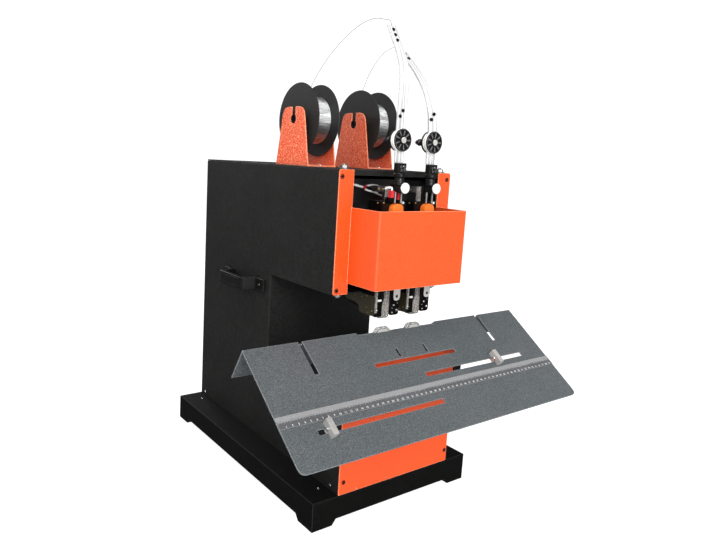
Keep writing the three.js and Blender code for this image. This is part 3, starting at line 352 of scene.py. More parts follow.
def dressed(node, look, edge, steps=2, angle=40):
    """A CAD node's own shape with its edges rounded."""
    mesh = frame["nodes"][node].data.copy()
    form = bmesh.new()
    form.from_mesh(mesh)
    bmesh.ops.remove_doubles(form, verts=form.verts, dist=1e-6)
    bmesh.ops.dissolve_limit(
        form, angle_limit=math.radians(0.8), use_dissolve_boundaries=False,
        verts=form.verts, edges=form.edges,
    )
    form.to_mesh(mesh)
    form.free()
    return place_piece(
        f"{node}_finished", mesh, look, (node,), body_of(node), 50, edge, angle, steps)


# Node trees

class Nodes:
    """A node tree; its nodes are added with their settings and sockets at once."""

    def join(self, value, socket):
        """Links a socket's value, or sets a plain one."""
        if hasattr(value, "is_linked"):
            self.tree.links.new(value, socket)
        elif socket.type == "RGBA":
            socket.default_value = (*value[:3], 1)
        else:
            socket.default_value = value

    def add(self, kind, settings=None, *values, **named):
        node = self.tree.nodes.new(kind)
        for label, value in (settings or {}).items():
            setattr(node, label, value)
        for socket, value in zip(node.inputs, values):
            self.join(value, socket)
        for label, value in named.items():
            self.join(value, node.inputs[label.replace("_", " ")])
        return node


class Tree(Nodes):
    """A geometry node tree; a name instead of a default value gives the kind of an input."""

    KINDS = {int: "Int", float: "Float", tuple: "Vector"}

    def __init__(self, name, **inputs):
        self.tree = bpy.data.node_groups.new(name, "GeometryNodeTree")
        self.socket("Geometry", "Geometry")
        for label, value in inputs.items():
            kind = self.KINDS.get(type(value), value)
            socket = self.socket(label.replace("_", " "), kind)
            if kind != value:
                socket.default_value = value
        self.socket("Geometry", "Geometry", "OUTPUT")
        self.given = self.tree.nodes.new("NodeGroupInput").outputs

    def __getitem__(self, label):
        return self.given[label]

    def socket(self, label, kind, side="INPUT"):
        return self.tree.interface.new_socket(
            name=label, in_out=side, socket_type=f"NodeSocket{kind}")

    def math(self, operation, *values):
        return self.add("ShaderNodeMath", {"operation": operation}, *values).outputs[0]

    def closed(self, node):
        """Ends the tree: instances become real and get the material."""
        real = self.add("GeometryNodeRealizeInstances", None, node.outputs[0])
        finish = self.add(
            "GeometryNodeSetMaterial", Geometry=real.outputs[0], Material=self["Material"])
        self.add("NodeGroupOutput", None, finish.outputs[0])
        return self

    def run(self, look, settings, base=None):
        """The mesh that the tree makes with these settings."""
        name = self.tree.name
        obj = temporary(f"{name}_work", base or bpy.data.meshes.new(name))
        modifier = obj.modifiers.new(name, "NODES")
        modifier.node_group = self.tree
        sockets = {
            item.name: item.identifier for item in self.tree.interface.items_tree
            if item.item_type == "SOCKET" and item.in_out == "INPUT"
        }
        for label, value in {"Material": finishes()[look], **settings}.items():
            modifier[sockets[label]] = value
        mesh = evaluated_mesh(obj)
        obj.modifiers.clear()
        bpy.data.objects.remove(obj)
        if not mesh.polygons:
            raise RuntimeError(f"the tree {name} made nothing")
        return mesh


@cache
def scatter_tree():
    """One head on each point, turned to the point's aim and spun by a seeded amount."""
    tree = Tree("Scattered Heads", Head="Object", Spin=math.pi, Seed=7, Material="Material")
    head = tree.add("GeometryNodeObjectInfo", As_Instance=True, Object=tree["Head"])
    aim = tree.add("GeometryNodeInputNamedAttribute", {"data_type": "FLOAT_VECTOR"}, Name="aim")
    size = tree.add("GeometryNodeInputNamedAttribute", {"data_type": "FLOAT"}, Name="size")
    align = tree.add(
        "FunctionNodeAlignRotationToVector", {"axis": "Z"}, Vector=aim.outputs["Attribute"])
    chance = tree.add("FunctionNodeRandomValue", {"data_type": "FLOAT"}, Seed=tree["Seed"])
    tree.join(tree["Spin"], chance.inputs[3])
    spin = tree.add("ShaderNodeCombineXYZ", Z=chance.outputs[1])
    rotate = tree.add("FunctionNodeRotateRotation", {"rotation_space": "LOCAL"},
                      Rotation=align.outputs[0], Rotate_By=spin.outputs[0])
    return tree.closed(tree.add(
        "GeometryNodeInstanceOnPoints", Points=tree["Geometry"], Instance=head.outputs["Geometry"],
        Rotation=rotate.outputs[0], Scale=size.outputs["Attribute"]))


@cache
def tick_tree():
    """A row of ticks, the fifth and the tenth longer, hanging down from one line."""
    tree = Tree("Ruler Ticks", Count=597, Pitch=1.0, Tick_Width=0.3, Tick_Length=2.0,
                Tick_Height=0.06, Fifth_Extra=1.1, Tenth_Extra=1.1, Material="Material")
    step = tree.add("ShaderNodeCombineXYZ", X=tree["Pitch"])
    row = tree.add(
        "GeometryNodeMeshLine", {"mode": "OFFSET"}, Count=tree["Count"], Offset=step.outputs[0])
    index = tree.add("GeometryNodeInputIndex").outputs[0]
    length = tree["Tick Length"]
    for every, extra in ((5.0, "Fifth Extra"), (10.0, "Tenth Extra")):
        marked = tree.math("LESS_THAN", tree.math("MODULO", index, every), 0.5)
        length = tree.math("ADD", length, tree.math("MULTIPLY", marked, tree[extra]))
    size = tree.add(
        "ShaderNodeCombineXYZ", X=tree["Tick Width"], Y=length, Z=tree["Tick Height"])
    tick = tree.add("GeometryNodeMeshCube")
    shift = tree.add(
        "GeometryNodeTransform", Geometry=tick.outputs["Mesh"], Translation=(0, -0.5, 0))
    return tree.closed(tree.add(
        "GeometryNodeInstanceOnPoints", Points=row.outputs[0], Instance=shift.outputs[0],
        Scale=size.outputs[0]))


@cache
def winding_tree():
    """A wire wound side by side: a spiral of one radius, as a closed tube."""
    tree = Tree("Wound Wire", Loops=40.0, Steps=72, Radius=40.0, Width=30.0, Wire=0.4,
                Material="Material")
    spiral = tree.add(
        "GeometryNodeCurveSpiral", Resolution=tree["Steps"], Rotations=tree["Loops"],
        Start_Radius=tree["Radius"], End_Radius=tree["Radius"], Height=tree["Width"])
    section = tree.add("GeometryNodeCurvePrimitiveCircle", Resolution=6, Radius=tree["Wire"])
    return tree.closed(tree.add(
        "GeometryNodeCurveToMesh", Curve=spiral.outputs[0], Profile_Curve=section.outputs[0],
        Fill_Caps=True))


@cache
def row_tree():
    """Copies of one piece in a straight row."""
    tree = Tree("Rows Of Ribs", Piece="Object", Count=4, Step=(0.0, 0.0, 1.0), Material="Material")
    unit = tree.add("GeometryNodeObjectInfo", As_Instance=True, Object=tree["Piece"])
    row = tree.add(
        "GeometryNodeMeshLine", {"mode": "OFFSET"}, Count=tree["Count"], Offset=tree["Step"])
    return tree.closed(tree.add(
        "GeometryNodeInstanceOnPoints", Points=row.outputs[0], Instance=unit.outputs["Geometry"]))


# Materials

class Finish(Nodes):
    """A node material built around one shader."""

    def __init__(self, name, **sockets):
        self.material = bpy.data.materials.new(name)
        self.material.use_nodes = True
        self.tree = self.material.node_tree
        self.shader = self.tree.nodes["Principled BSDF"]
        self.send(**sockets)
        self.place = self.add("ShaderNodeTexCoord").outputs["Object"]

    def noise(self, scale, detail, roughness=0.5, stretch=None):
        """Noise in object coordinates, stretched along some axes for brushed lines."""
        place = self.place
        if stretch:
            place = self.add("ShaderNodeMapping", Vector=place, Scale=stretch).outputs[0]
        return self.add("ShaderNodeTexNoise", Vector=place, Scale=scale, Detail=detail,
                        Roughness=roughness).outputs[0]

    def cells(self, scale):
        return self.add("ShaderNodeTexVoronoi", {"feature": "SMOOTH_F1"}, Vector=self.place,
                        Scale=scale, Smoothness=0.6).outputs["Distance"]

    def ranged(self, value, low, high, start=0.3, end=0.7):
        return self.add("ShaderNodeMapRange", Value=value, From_Min=start, From_Max=end,
                        To_Min=low, To_Max=high).outputs[0]

    def ramp(self, value, *stops):
        """A colour for each value, from stops of (place, colour)."""
        node = self.add("ShaderNodeValToRGB", Fac=value)
        marks = node.color_ramp.elements
        while len(marks) < len(stops):
            marks.new(0.5)
        for mark, (place, colour) in zip(marks, stops):
            mark.position = place
            mark.color = (*colour[:3], 1)
        return node.outputs[0]

    def mixed(self, factor, first, second, mode="MIX"):
        node = self.add("ShaderNodeMix", {"data_type": "RGBA", "blend_type": mode}, factor)
        self.join(first, node.inputs[6])
        self.join(second, node.inputs[7])
        return node.outputs[2]

    def worn_edges(self, radius):
        """1 on the rounded edges of a piece, 0 on its faces."""
        bent = self.add("ShaderNodeBevel", {"samples": 4}, Radius=radius)
        true = self.add("ShaderNodeNewGeometry")
        dot = self.add("ShaderNodeVectorMath", {"operation": "DOT_PRODUCT"}, bent.outputs[0],
                       true.outputs["Normal"])
        return self.ranged(dot.outputs["Value"], 1.0, 0.0, 0.93, 0.995)

    def bump(self, *layers):
        """Layers of (height, strength, distance), the coarsest first."""
        below = {}
        for height, strength, distance in layers:
            node = self.add(
                "ShaderNodeBump", Height=height, Strength=strength, Distance=distance, **below)
            below = {"Normal": node.outputs[0]}
        self.send(**below)

    def send(self, **sockets):
        for label, value in sockets.items():
            self.join(value, self.shader.inputs[label.replace("_", " ")])
        return self.material


def shade(colour, factor):
    return tuple(min(part * factor, 1.0) for part in colour[:3])


def make_black_paint(paints, name="black powder coat", level=1.0, edge_highlight_gain=3.6, shine=0.28):
    """Fine textured powder coat, a little lighter on its edges: a painted highlight."""
    finish = Finish(name, Specular_IOR_Level=shine)
    base = shade(paints.black, level)
    cloud = finish.ramp(finish.noise(9, 4, 0.6), (0.3, shade(base, 0.75)), (0.7, shade(base, 1.25)))
    speck = finish.ramp(finish.noise(380, 3, 0.7), (0.4, shade(base, 0.35)), (0.62, shade(base, 2.1)))
    colour = finish.mixed(0.5, cloud, speck)
    # lighter edges from the bevel mask: a painted highlight
    edge_highlighted = finish.mixed(finish.worn_edges(0.0011), colour, shade(base, edge_highlight_gain))
    finish.bump((finish.noise(420, 2), 0.35, 0.00016), (finish.noise(1500, 2), 0.5, 0.00009))
    return finish.send(Base_Color=edge_highlighted, Roughness=finish.ranged(finish.noise(60, 4), 0.42, 0.56))


def make_orange_paint(paints, name="orange hammered paint", depth=1.0, dulled=0.0):
    """Hammered paint: small dimples under a thin gloss, edges catching the light."""
    finish = Finish(name, Coat_Weight=0.25, Coat_Roughness=0.25, Specular_IOR_Level=0.5)
    base = paints.orange
    grain = finish.noise(620, 4, 0.8)
    tone = finish.ramp(finish.noise(8, 3), (0.3, shade(base, 0.93)), (0.7, shade(base, 1.05)))
    pale = (base[0], base[1] + 0.8 * dulled, base[2] + 0.6 * dulled) if dulled else shade(base, 1.6)
    speck = finish.ramp(
        grain, (0.42, shade(base, 0.72 - 0.6 * dulled)), (0.52, base[:]), (0.62, pale))
    mixed = finish.mixed(0.55 + dulled, tone, speck)
    # pale edges from the bevel mask: a painted highlight
    light = finish.mixed(finish.worn_edges(0.0012), mixed, (0.95, 0.42, 0.24))
    finish.bump((finish.cells(300), 0.6 * depth, 0.0005), (grain, 0.4 * depth, 0.00014))
    return finish.send(Base_Color=light, Roughness=finish.ranged(grain, 0.3, 0.46))


def make_table_paint(paints):
    """Dark grey structured paint with a fine light grain."""
    finish = Finish("grey table paint", Specular_IOR_Level=0.4)
    base = paints.table
    grain = finish.noise(520, 3, 0.7)
    fine = finish.ramp(grain, (0.38, shade(base, 0.62)), (0.5, base[:]), (0.64, shade(base, 1.6)))
    cloud = finish.ramp(finish.noise(7, 4, 0.6), (0.3, (0.86, 0.9, 0.92)), (0.7, (1.0, 1.0, 1.0)))
    mixed = finish.mixed(1.0, fine, cloud, "MULTIPLY")
    # lighter edges from the bevel mask: a painted highlight
    light = finish.mixed(finish.worn_edges(0.0009), mixed, (0.32, 0.33, 0.34))
    finish.bump((finish.noise(260, 2), 0.25, 0.0002), (grain, 0.5, 0.00012))
    return finish.send(Base_Color=light, Roughness=finish.ranged(finish.noise(40, 3), 0.4, 0.52))


def make_metal(
        name, colour, low, high, stretch=(60, 60, 900), bite=0.25, spots=0.12, metal=1.0, size=45):
    """Brushed or ground metal: fine lines along one direction and faint stains."""
    finish = Finish(name, Metallic=metal)
    lines = finish.noise(1.0, 4, 0.6, stretch)
    tone = finish.ramp(finish.noise(size, 4, 0.6), (0.3, shade(colour, 1 - spots)), (0.65, colour))
    finish.bump((lines, bite, 0.00004))
    return finish.send(Base_Color=tone, Roughness=finish.ranged(lines, low, high))


def make_plastic(name, colour, low, high, grain=900, depth=0.00006, shine=0.5):
    """Moulded plastic: a fine grain and a faint change of gloss."""
    finish = Finish(name, Specular_IOR_Level=shine)
    tone = finish.ramp(finish.noise(30, 3), (0.3, shade(colour, 0.88)), (0.7, shade(colour, 1.1)))
    finish.bump((finish.noise(grain, 2), 0.4, depth))
    return finish.send(Base_Color=tone, Roughness=finish.ranged(finish.noise(80, 3), low, high))


def make_strip_steel():
    """Polished spring steel: pale, with fine lines along it and dark rolled edges."""
    finish = Finish("polished spring strip", Metallic=0.25)
    lines = finish.noise(1.0, 3, 0.5, (420, 9, 9))
    tone = finish.ramp(lines, (0.4, (0.5, 0.51, 0.51)), (0.52, (0.78, 0.78, 0.77)))
    edged = finish.mixed(finish.worn_edges(0.0014), tone, (0.09, 0.09, 0.09))
    return finish.send(Base_Color=edged, Roughness=finish.ranged(lines, 0.24, 0.36))


def make_felt():
    """White felt with loose fibres."""
    finish = Finish("white felt", Sheen_Weight=0.4, Roughness=0.95)
    fibres = finish.noise(1100, 5, 0.75)
    finish.bump((fibres, 0.9, 0.0003))
    return finish.send(
        Base_Color=finish.ramp(fibres, (0.35, (0.62, 0.61, 0.58)), (0.65, (0.9, 0.89, 0.86))))


def make_wound_wire():
    """Tinned wire with faint streaks across the turns."""
    finish = Finish("wound steel wire", Metallic=1.0)
    lines = finish.noise(1.0, 3, 0.6, (60, 900, 900))
    tone = finish.ramp(lines, (0.38, (0.46, 0.47, 0.48)), (0.6, (0.9, 0.9, 0.9)))
    return finish.send(Base_Color=tone, Roughness=finish.ranged(lines, 0.3, 0.38))


def make_studio_floor():
    finish = Finish("pale floor", Roughness=0.7, Emission_Strength=0.9)
    return finish.send(
        Base_Color=finish.ramp(finish.noise(3, 3), (0.3, (0.28, 0.28, 0.28)), (0.7, (0.3, 0.3, 0.3))))


# Name, colour, lowest and highest roughness; then, for metals, the stretch and depth of their lines,
# the strength of their stains, how metallic they are and how fine the stains are
METALS = {
    "bright": ("zinc plated steel", (0.82, 0.82, 0.81), 0.2, 0.34),
    "ruler": ("satin ruler steel", (0.32, 0.325, 0.33), 0.42, 0.52, (900, 30, 30), 0.3, 0.3, 0.3, 700),
    "dark": ("ground dark steel", (0.16, 0.16, 0.165), 0.3, 0.46, (60, 60, 700), 0.5),
    "blued": ("black oxide steel", (0.035, 0.035, 0.036), 0.32, 0.5, (500, 60, 500), 0.5, 0.35),
    "former": ("worn former steel", (0.62, 0.58, 0.54), 0.3, 0.45, (900, 60, 60), 0.9, 0.85, 0.5, 330),
    "strap": ("satin strap steel", (0.62, 0.6, 0.57), 0.36, 0.48, (60, 60, 700), 0.3, 0.15, 0.4),
    "cast": ("machined grey block", (0.5, 0.5, 0.49), 0.38, 0.5, (60, 700, 60), 0.6, 0.2),
    "guide": ("milled guide block", (0.56, 0.55, 0.53), 0.36, 0.46, (60, 700, 60), 0.4, 0.3, 0.5),
    "brass": ("brass rivets", (0.75, 0.5, 0.2), 0.22, 0.35),
    "drawn": ("drawn stitching wire", (0.05, 0.05, 0.052), 0.34, 0.46, (60, 60, 900), 0.25, 0.12, 0.3),
}
# For plastics, after the roughness, the size and depth of their grain and their shine
PLASTICS = {
    "olive": ("olive black cheek", (0.03, 0.026, 0.015), 0.34, 0.5, 260, 0.0003),
    "plastic": ("black moulded plastic", (0.005, 0.005, 0.0048), 0.3, 0.44, 900, 0.00006, 0.3),
    "disc": ("satin black spool", (0.013, 0.013, 0.0127), 0.4, 0.5, 500),
    "knurl": ("dark grey ribs", (0.11, 0.11, 0.11), 0.26, 0.4, 700, 0.0002),
    # painted shade in holes, slots and slits; also the real black of the cup washers and the tray's seam
    "rubber": ("dark recess", (0.006, 0.006, 0.006), 0.7, 0.85),
    "white": ("white moulded plastic", (0.7, 0.71, 0.71), 0.3, 0.42),
    "sleeve": ("white woven sleeve", (0.92, 0.92, 0.9), 0.6, 0.75, 1600, 0.00016),
    "lever": ("orange moulded lever", (0.78, 0.165, 0.018), 0.3, 0.42),
    "red": ("red moulded plastic", (0.5, 0.022, 0.03), 0.32, 0.45),
    "motor": ("grey motor paint", (0.07, 0.075, 0.08), 0.4, 0.5, 500),
    "mark": ("grey ruler lines", (0.46, 0.47, 0.475), 0.5, 0.6),
    "band": ("dark ruler band", (0.075, 0.078, 0.082), 0.45, 0.55),
    "ink": ("white ruler lines", (0.72, 0.73, 0.74), 0.5, 0.6),
}


@cache
def finishes():
    """All materials by name, made once."""
    paints = bpy.context.scene.stitcher_paints
    looks = {name: make_metal(*values) for name, values in METALS.items()}
    looks.update({name: make_plastic(*values) for name, values in PLASTICS.items()})
    looks.update(
        black=make_black_paint(paints),
        # the tray: a darker black with a stronger painted highlight on its edges
        tray=make_black_paint(paints, "black tray enamel", 0.36, 12.0, 0.1),
        orange=make_orange_paint(paints),
        hammered=make_orange_paint(paints, "coarse hammered orange", 1.8, 0.4),
        table=make_table_paint(paints), strip=make_strip_steel(), felt=make_felt(),
        wire=make_wound_wire(),
    )
    return looks


# Heads of screws and rivets, drawn with radius 1 about Z and scaled by the tree
HEADS = {
    "socket": [
        (0, -0.3), (1, -0.3), (1, 0.42), (0.9, 0.56), (0.62, 0.6), (0.5, 0.58, "six"),
        (0.48, 0.2, "six"), (0, 0.14),
    ],
    "domed": [
        (0, -0.3), (1, -0.3), (1, 0.04), (0.93, 0.28), (0.74, 0.46), (0.5, 0.55),
        (0.38, 0.54, "six"), (0.35, 0.25, "six"), (0, 0.2),
    ],
    "rivet": [(0, -0.3), (1, -0.3), (1, 0.05), (0.85, 0.32), (0.5, 0.5), (0, 0.56)],
    "cup": [
        (0, -0.3), (1, -0.3), (1, 0.12), (0.94, 0.2), (0.84, 0.2), (0.6, -0.05), (0.45, -0.05), (0, -0.05),
    ],
}


def fasteners(name, kind, places, look, body="frame", steps=24):
    """Heads at places of (x, y, z, aim, radius)."""
    points = bpy.data.meshes.new(f"{name}_places")
    points.from_pydata([place[:3] for place in places], [], [])
    aims = points.attributes.new("aim", "FLOAT_VECTOR", "POINT")
    aims.data.foreach_set("vector", [part for place in places for part in place[3]])
    sizes = points.attributes.new("size", "FLOAT", "POINT")
    sizes.data.foreach_set("value", [place[4] for place in places])
    mesh = Form().turned(HEADS[kind], "z", (0, 0), steps).data(f"{kind}_head", to_frame=False)
    mesh.shade_smooth()
    mesh.set_sharp_from_angle(angle=math.radians(32))
    head = temporary(f"{kind}_head", mesh)
    mesh = scatter_tree().run(look, {"Head": head}, points)
    bpy.data.objects.remove(head)
    mesh.transform(TO_FRAME)
    return place_piece(name, mesh, look, (), body, 32)


def row_of(form, name, look, count, pitch, height):
    """A row of copies of a form, one above the other."""
    unit = temporary("unit", form.data("unit", to_frame=False))
    mesh = row_tree().run(look, {"Piece": unit, "Count": count, "Step": (0.0, 0.0, pitch)})
    bpy.data.objects.remove(unit)
    mesh.transform(TO_FRAME @ Matrix.Translation((0, 0, height)))
    return place_piece(name, mesh, look)


# Makers of the pieces

def make_body(scene):
    """Tray, side panels and covers."""
    edges = scene.stitcher_edges
    dressed("base_tray", "tray", edges.tray)
    for node in (
            "left_side_panel", "right_side_panel", "top_cover", "rear_cover", "column_front_cover",
            "head_floor", "arm_cover", "left_table_bracket", "right_table_bracket"):
        dressed(node, "black", edges.sheet)
    # screws that hold the panels, the tray and the rear cover
    places = []
    for side, sign in SIDES.items():
        for y in (-236.8, 236.8):
            places.append((sign * abs(PANEL[0].x), y, 57.4, OUTWARD[side], 2.4))
            places.append((sign * 139, y * 0.945, TRAY[1].z, UPWARD, 2.4))
    places += [(x, FRONT_PANEL[0].y, 52.6, FRONT, 1.4) for x in (-88, -22)]
    fasteners("panel_screws", "domed", places, "bright")
    back = PANEL[1].y
    rear = [(x, back, z, BACK, 2.6) for x in (-114, 0, 114) for z in (64, 310, 560)]
    fasteners("rear_cover_screws", "domed", rear, "bright")
    # air slots pressed out of the rear cover, near its top; their openings are dark blocks of painted shade
    hood, slit = Form(), Form()
    shape = rounded([(-0.2, 0, 0), (2.6, 0, 0.4), (2.6, 1.4, 1.2), (0.4, 6.6, 2), (-0.2, 6.8, 0)], x=back)
    for left, right in ((-78, -10), (10, 78)):
        hood.drawn(shape, "x", (left, right), 0.5)
        slit.block((left + 2, right - 2), (back - 0.2, back + 0.15), (-1.3, 0.4), 0.05, 1)
    for name, form, look in (("rear_louvres", hood, "black"), ("rear_louvre_slits", slit, "rubber")):
        row_of(form, name, look, 7, 14.0, 440)
    # the tray's folded rim shows as a seam
    rim = Form()
    low, high = TRAY
    for y in (low.y + 0.25, high.y - 0.25):
        rim.block((low.x + 3, high.x - 3), (y - 0.25, y + 0.25), (high.z - 3.1, high.z - 2.8), 0)
    rim.make("tray_fold_lines", "rubber", "black_paint")


def make_front(scene):
    """The orange guard, the lower front panel and their screws in cup washers."""
    for node in ("front_guard", "lower_front_panel"):
        dressed(node, "orange", scene.stitcher_edges.sheet)
    face = GUARD[1].y - 2
    flange = [(-119.3, face, 564.6), (116.3, face, 564.4), (-118.6, face, 380.7), (118.6, face, 380.7)]
    panel = [(x, FRONT_PANEL[0].y, z) for x in (-115.9, 119.2) for z in (70.4, 250)]
    cups = [(*place, FRONT, 4.0) for place in flange] + [(*place, FRONT, 3.8) for place in panel]
    screws = [(x, y - 0.1, z, FRONT, 2.1) for x, y, z in flange + panel]
    fasteners("front_cup_washers", "cup", cups, "rubber")
    fasteners("front_screws", "domed", screws, "blued")


def make_handles(scene):
    """Moulded carrying handles with a screw in each foot."""
    for side, sign in SIDES.items():
        node = f"{side}_handle"
        dressed(node, "plastic", scene.stitcher_edges.moulding, 3)
        low, high = span(node)
        feet = [
            (sign * HANDLE_FOOT_FACE, y, core(node)[2], OUTWARD[side], 2.7)
            for y in (low.y + 17, high.y - 17)
        ]
        fasteners(f"{side}_handle_screws", "socket", feet, "bright")
        # a raised bead along the grip
        bead = Form()
        outer = (high.x if sign > 0 else low.x) - sign * 0.35
        for z in (low.z + 4.5, high.z - 4.5):
            grip = range(int(low.y) + 42, int(high.y) - 40, 6)
            bead.tube([Vector((outer, y, z)) for y in grip], 0.75, 8)
        bead.make(f"{side}_handle_beads", "plastic", "black_plastic")


# Rows down the table's front slope, and the heights of the ruler's layers over it
PLATE_ROWS, PLATE_LAYER = (-134, -115), (0.3, 0.72)
BAND_ROWS, BAND_LAYER = (-133.6, -121.6), (0.6, 0.79)
TICK_ROW, NUMERAL_ROW, MARK_LAYER = -121.7, -132.6, 0.8


def make_table(scene):
    """The saddle table, its ruler and the screws in its face."""
    marks = scene.stitcher_ruler
    dressed("saddle_table", "table", scene.stitcher_edges.table)
    reach = TABLE[1].x
    plate = Form().block((-reach, reach), PLATE_ROWS, PLATE_LAYER, 0.12, 1, SLOPE)
    plate.make("ruler_plate", "ruler", "bright_steel", ("ruler_strip",))
    band = Form().block((0.3 - reach, reach - 0.3), BAND_ROWS, BAND_LAYER, 0.04, 1, SLOPE)
    band.make("ruler_band", "band", "bright_steel")
    pitch = marks.pitch / MM
    ticks = tick_tree().run("mark", {
        "Count": int(2 * reach / pitch) - 3, "Pitch": pitch, "Tick Width": marks.tick_width / MM,
        "Tick Length": marks.tick_length / MM,
    })
    start = 2 * pitch - reach
    ticks.transform(TO_FRAME @ SLOPE @ Matrix.Translation((start, TICK_ROW, MARK_LAYER)))
    place_piece("ruler_ticks", ticks, "mark")
    numerals = Form()
    for number in range(1, int(2 * reach / 10)):
        text = bpy.data.curves.new(f"numeral_{number}", "FONT")
        text.body = str(number)
        text.size = marks.numeral_height / MM * 1.35
        text.align_x = "CENTER"
        text.extrude = 0.03
        text.resolution_u = 2
        writing = temporary(f"numeral_{number}", text)
        mesh = evaluated_mesh(writing)
        place = Matrix.Translation((start + 10 * number, NUMERAL_ROW, MARK_LAYER))
        mesh.transform(SLOPE @ place)
        numerals.mesh.from_mesh(mesh)
        bpy.data.objects.remove(writing)
        bpy.data.meshes.remove(mesh)
    numerals.make("ruler_numerals", "ink", "bright_steel")
    spots = ((25, 188), (-113, 190), (-213, 171), (-271, 36), (271, 36), (213, 171))
    places = [(*(SLOPE @ Vector((across, -down, 0))), SLOPE_OUT, 1.5) for across, down in spots]
    fasteners("table_screws", "domed", places, "band", steps=12)


def make_guides():
    """Sliding paper guides with their clamp screws."""
    screw = [
        (0, 7.2), (1.5, 7.2), (1.5, 2.5), (3, 2.5), (3, 0.5), (2.6, 0), (1.7, 0), (1.45, 0.1, "six"),
        (1.4, 1.5, "six"), (0, 1.6),
    ]
    for side in SIDES:
        dressed(f"{side}_guide_block", "guide", 0.0007)
        node = f"{side}_clamp_screw"
        low, high = span(node)
        Form().turned(shifted(screw, low.x), "x", ((low + high) / 2).yz, 24).make(
            f"{node}_turned", "bright", "bright_steel", (node,), f"{side}_clamp")


# Half profiles of a spool's axle and flange; the flange's last ones are given from its rim
AXLE_END = [
    (0, 1.6), (4.4, 1.6, "six"), (4.6, 0, "six"), (7.4, 0), (8.2, 0.8), (8.2, 2.3), (10.7, 2.3),
    (11, 2.6), (11, 4.2), (10.7, 4.5), (8.2, 4.5),
]
FLANGE_HUB = [(8.5, 0.3), (8.8, 0), (14, 0), (14.6, 0.5), (21, 0.5), (21.6, 0.1)]
FLANGE_RIM = [(-3, 0.1), (-0.8, 0), (-0.2, 0.35), (0, 1), (-0.2, 1.65), (-0.8, 2), (-3, 1.8)]
SPOOL_CORE = 37.6


def make_spool_stands(scene):
    """Brackets, axles and spools."""
    for side in SIDES:
        bracket, axle, spool = f"{side}_spool_bracket", f"{side}_spool_axle", f"{side}_spool"
        dressed(bracket, "hammered", scene.stitcher_edges.sheet)
        near, far = (corner.x for corner in span(axle))
        centre = core(axle)[1:]
        Form().turned(both_ends(AXLE_END, near, far), "x", centre).make(
            f"{side}_axle_turned", "blued", "black_plastic", (axle,))
        low, high = span(spool)
        rim = (high.z - low.z) / 2
        half = FLANGE_HUB + [(rim + inward, along) for inward, along in FLANGE_RIM]
        half += [(SPOOL_CORE + 1.6, 1.8), (SPOOL_CORE, 2.4)]
        Form().turned(both_ends(half, low.x, high.x), "x", centre, 96, ring=True).make(
            f"{side}_spool_turned", "disc", "black_plastic", (spool,), f"{side}_spool_body", 28)
        low, high = span(bracket)
        screws = [(core(bracket)[0], y, low.z + 2, UPWARD, 3.1) for y in (low.y + 5, high.y - 5)]
        fasteners(f"{side}_bracket_screws", "socket", screws, "bright")


# Wire routes between the winding and the strip: X from the middle, Y and Z from the axle
WIRE_ROUTES = {
    "left": {
        "angle": 27, "start": -69.95, "end": (-35, -212.0, 806.0), "ahead": (0, 11.55, 24.84),
        "points": [
            (-70, 17.4, 60.4), (-66, 1, 86.3), (-60.5, -31, 119), (-54.4, -66.3, 144.6),
            (-50.6, -96.8, 158.5), (-45, -121, 163), (-39, -138.5, 159.8),
        ],
    },
    "right": {
        "angle": 33, "start": 42, "end": (35, -165.0, 780.0), "ahead": (0, 29.925, 27.0),
        "points": [
            (42, 7.7, 66.7), (40.8, -8.1, 91.4), (39.7, -29.1, 112.9), (38.5, -50.1, 126.9),
            (37, -76.2, 133.3),
        ],
    },
}
WINDING_RADIUS = 41
LAYER_RADIUS = 37.4
WIRE_SEAT = 41.79


def make_windings(scene):
    """The wire on each spool and the free wire that runs to its strip."""
    wire = scene.stitcher_wire
    thick = wire.thickness / MM
    radius = WINDING_RADIUS - thick / 2
    for side in SIDES:
        body = f"{side}_spool_body"
        low, high = span(f"{side}_spool")
        centre = Vector(core(f"{side}_spool"))
        room = high.x - low.x - 4.6 - thick
        mesh = winding_tree().run("wire", {
            "Loops": float(wire.loops), "Radius": radius, "Width": room, "Wire": thick / 2,
        })
        place = Matrix.Translation(centre) @ Matrix.Rotation(math.pi / 2, 4, "Y")
        mesh.transform(TO_FRAME @ place @ Matrix.Translation((0, 0, -room / 2)))
        # a plain layer under the turns closes the view to the core
        left, right = centre.x - room / 2 - thick / 2, centre.x + room / 2 + thick / 2
        under = [(LAYER_RADIUS, left), (radius - 0.1, left), (radius - 0.1, right), (LAYER_RADIUS, right)]
        Form().turned(under, "x", (centre.y, centre.z), 96, ring=True).make(
            f"{side}_winding_layer", "wire", "wound_wire", (), body)
        place_piece(f"{side}_winding_turns", mesh, "wire", (f"{side}_winding",), body, 70)
        route = WIRE_ROUTES[side]
        angle = math.radians(route["angle"])
        outward = Vector((0, math.cos(angle), math.sin(angle)))
        forward = Vector((0, -math.sin(angle), math.cos(angle)))
        leave = Vector((route["start"], centre.y, centre.z)) + outward * WIRE_SEAT
        ahead = Vector(route["ahead"]).normalized()
        arrive = Vector(route["end"])
        way = [Vector((0, centre.y, centre.z)) + Vector(point) for point in route["points"]]
        points = [leave, leave + forward * 20.5, *way, arrive + ahead * 10.05, arrive + ahead * 0.3]
        Form().tube(smooth_path(points, 90), 0.4, 8).make(
            f"{side}_free_wire", "drawn", "wound_wire", (f"{side}_stitch_wire",))


STRIP_BENDS = {
    "left": ((-250.5, 714), (-250.5, 755.4), (-223.55, 781.16), (-212, 806)),
    "right": ((-250.5, 645), (-250.5, 712.5), (-194.925, 753), (-165, 780)),
}


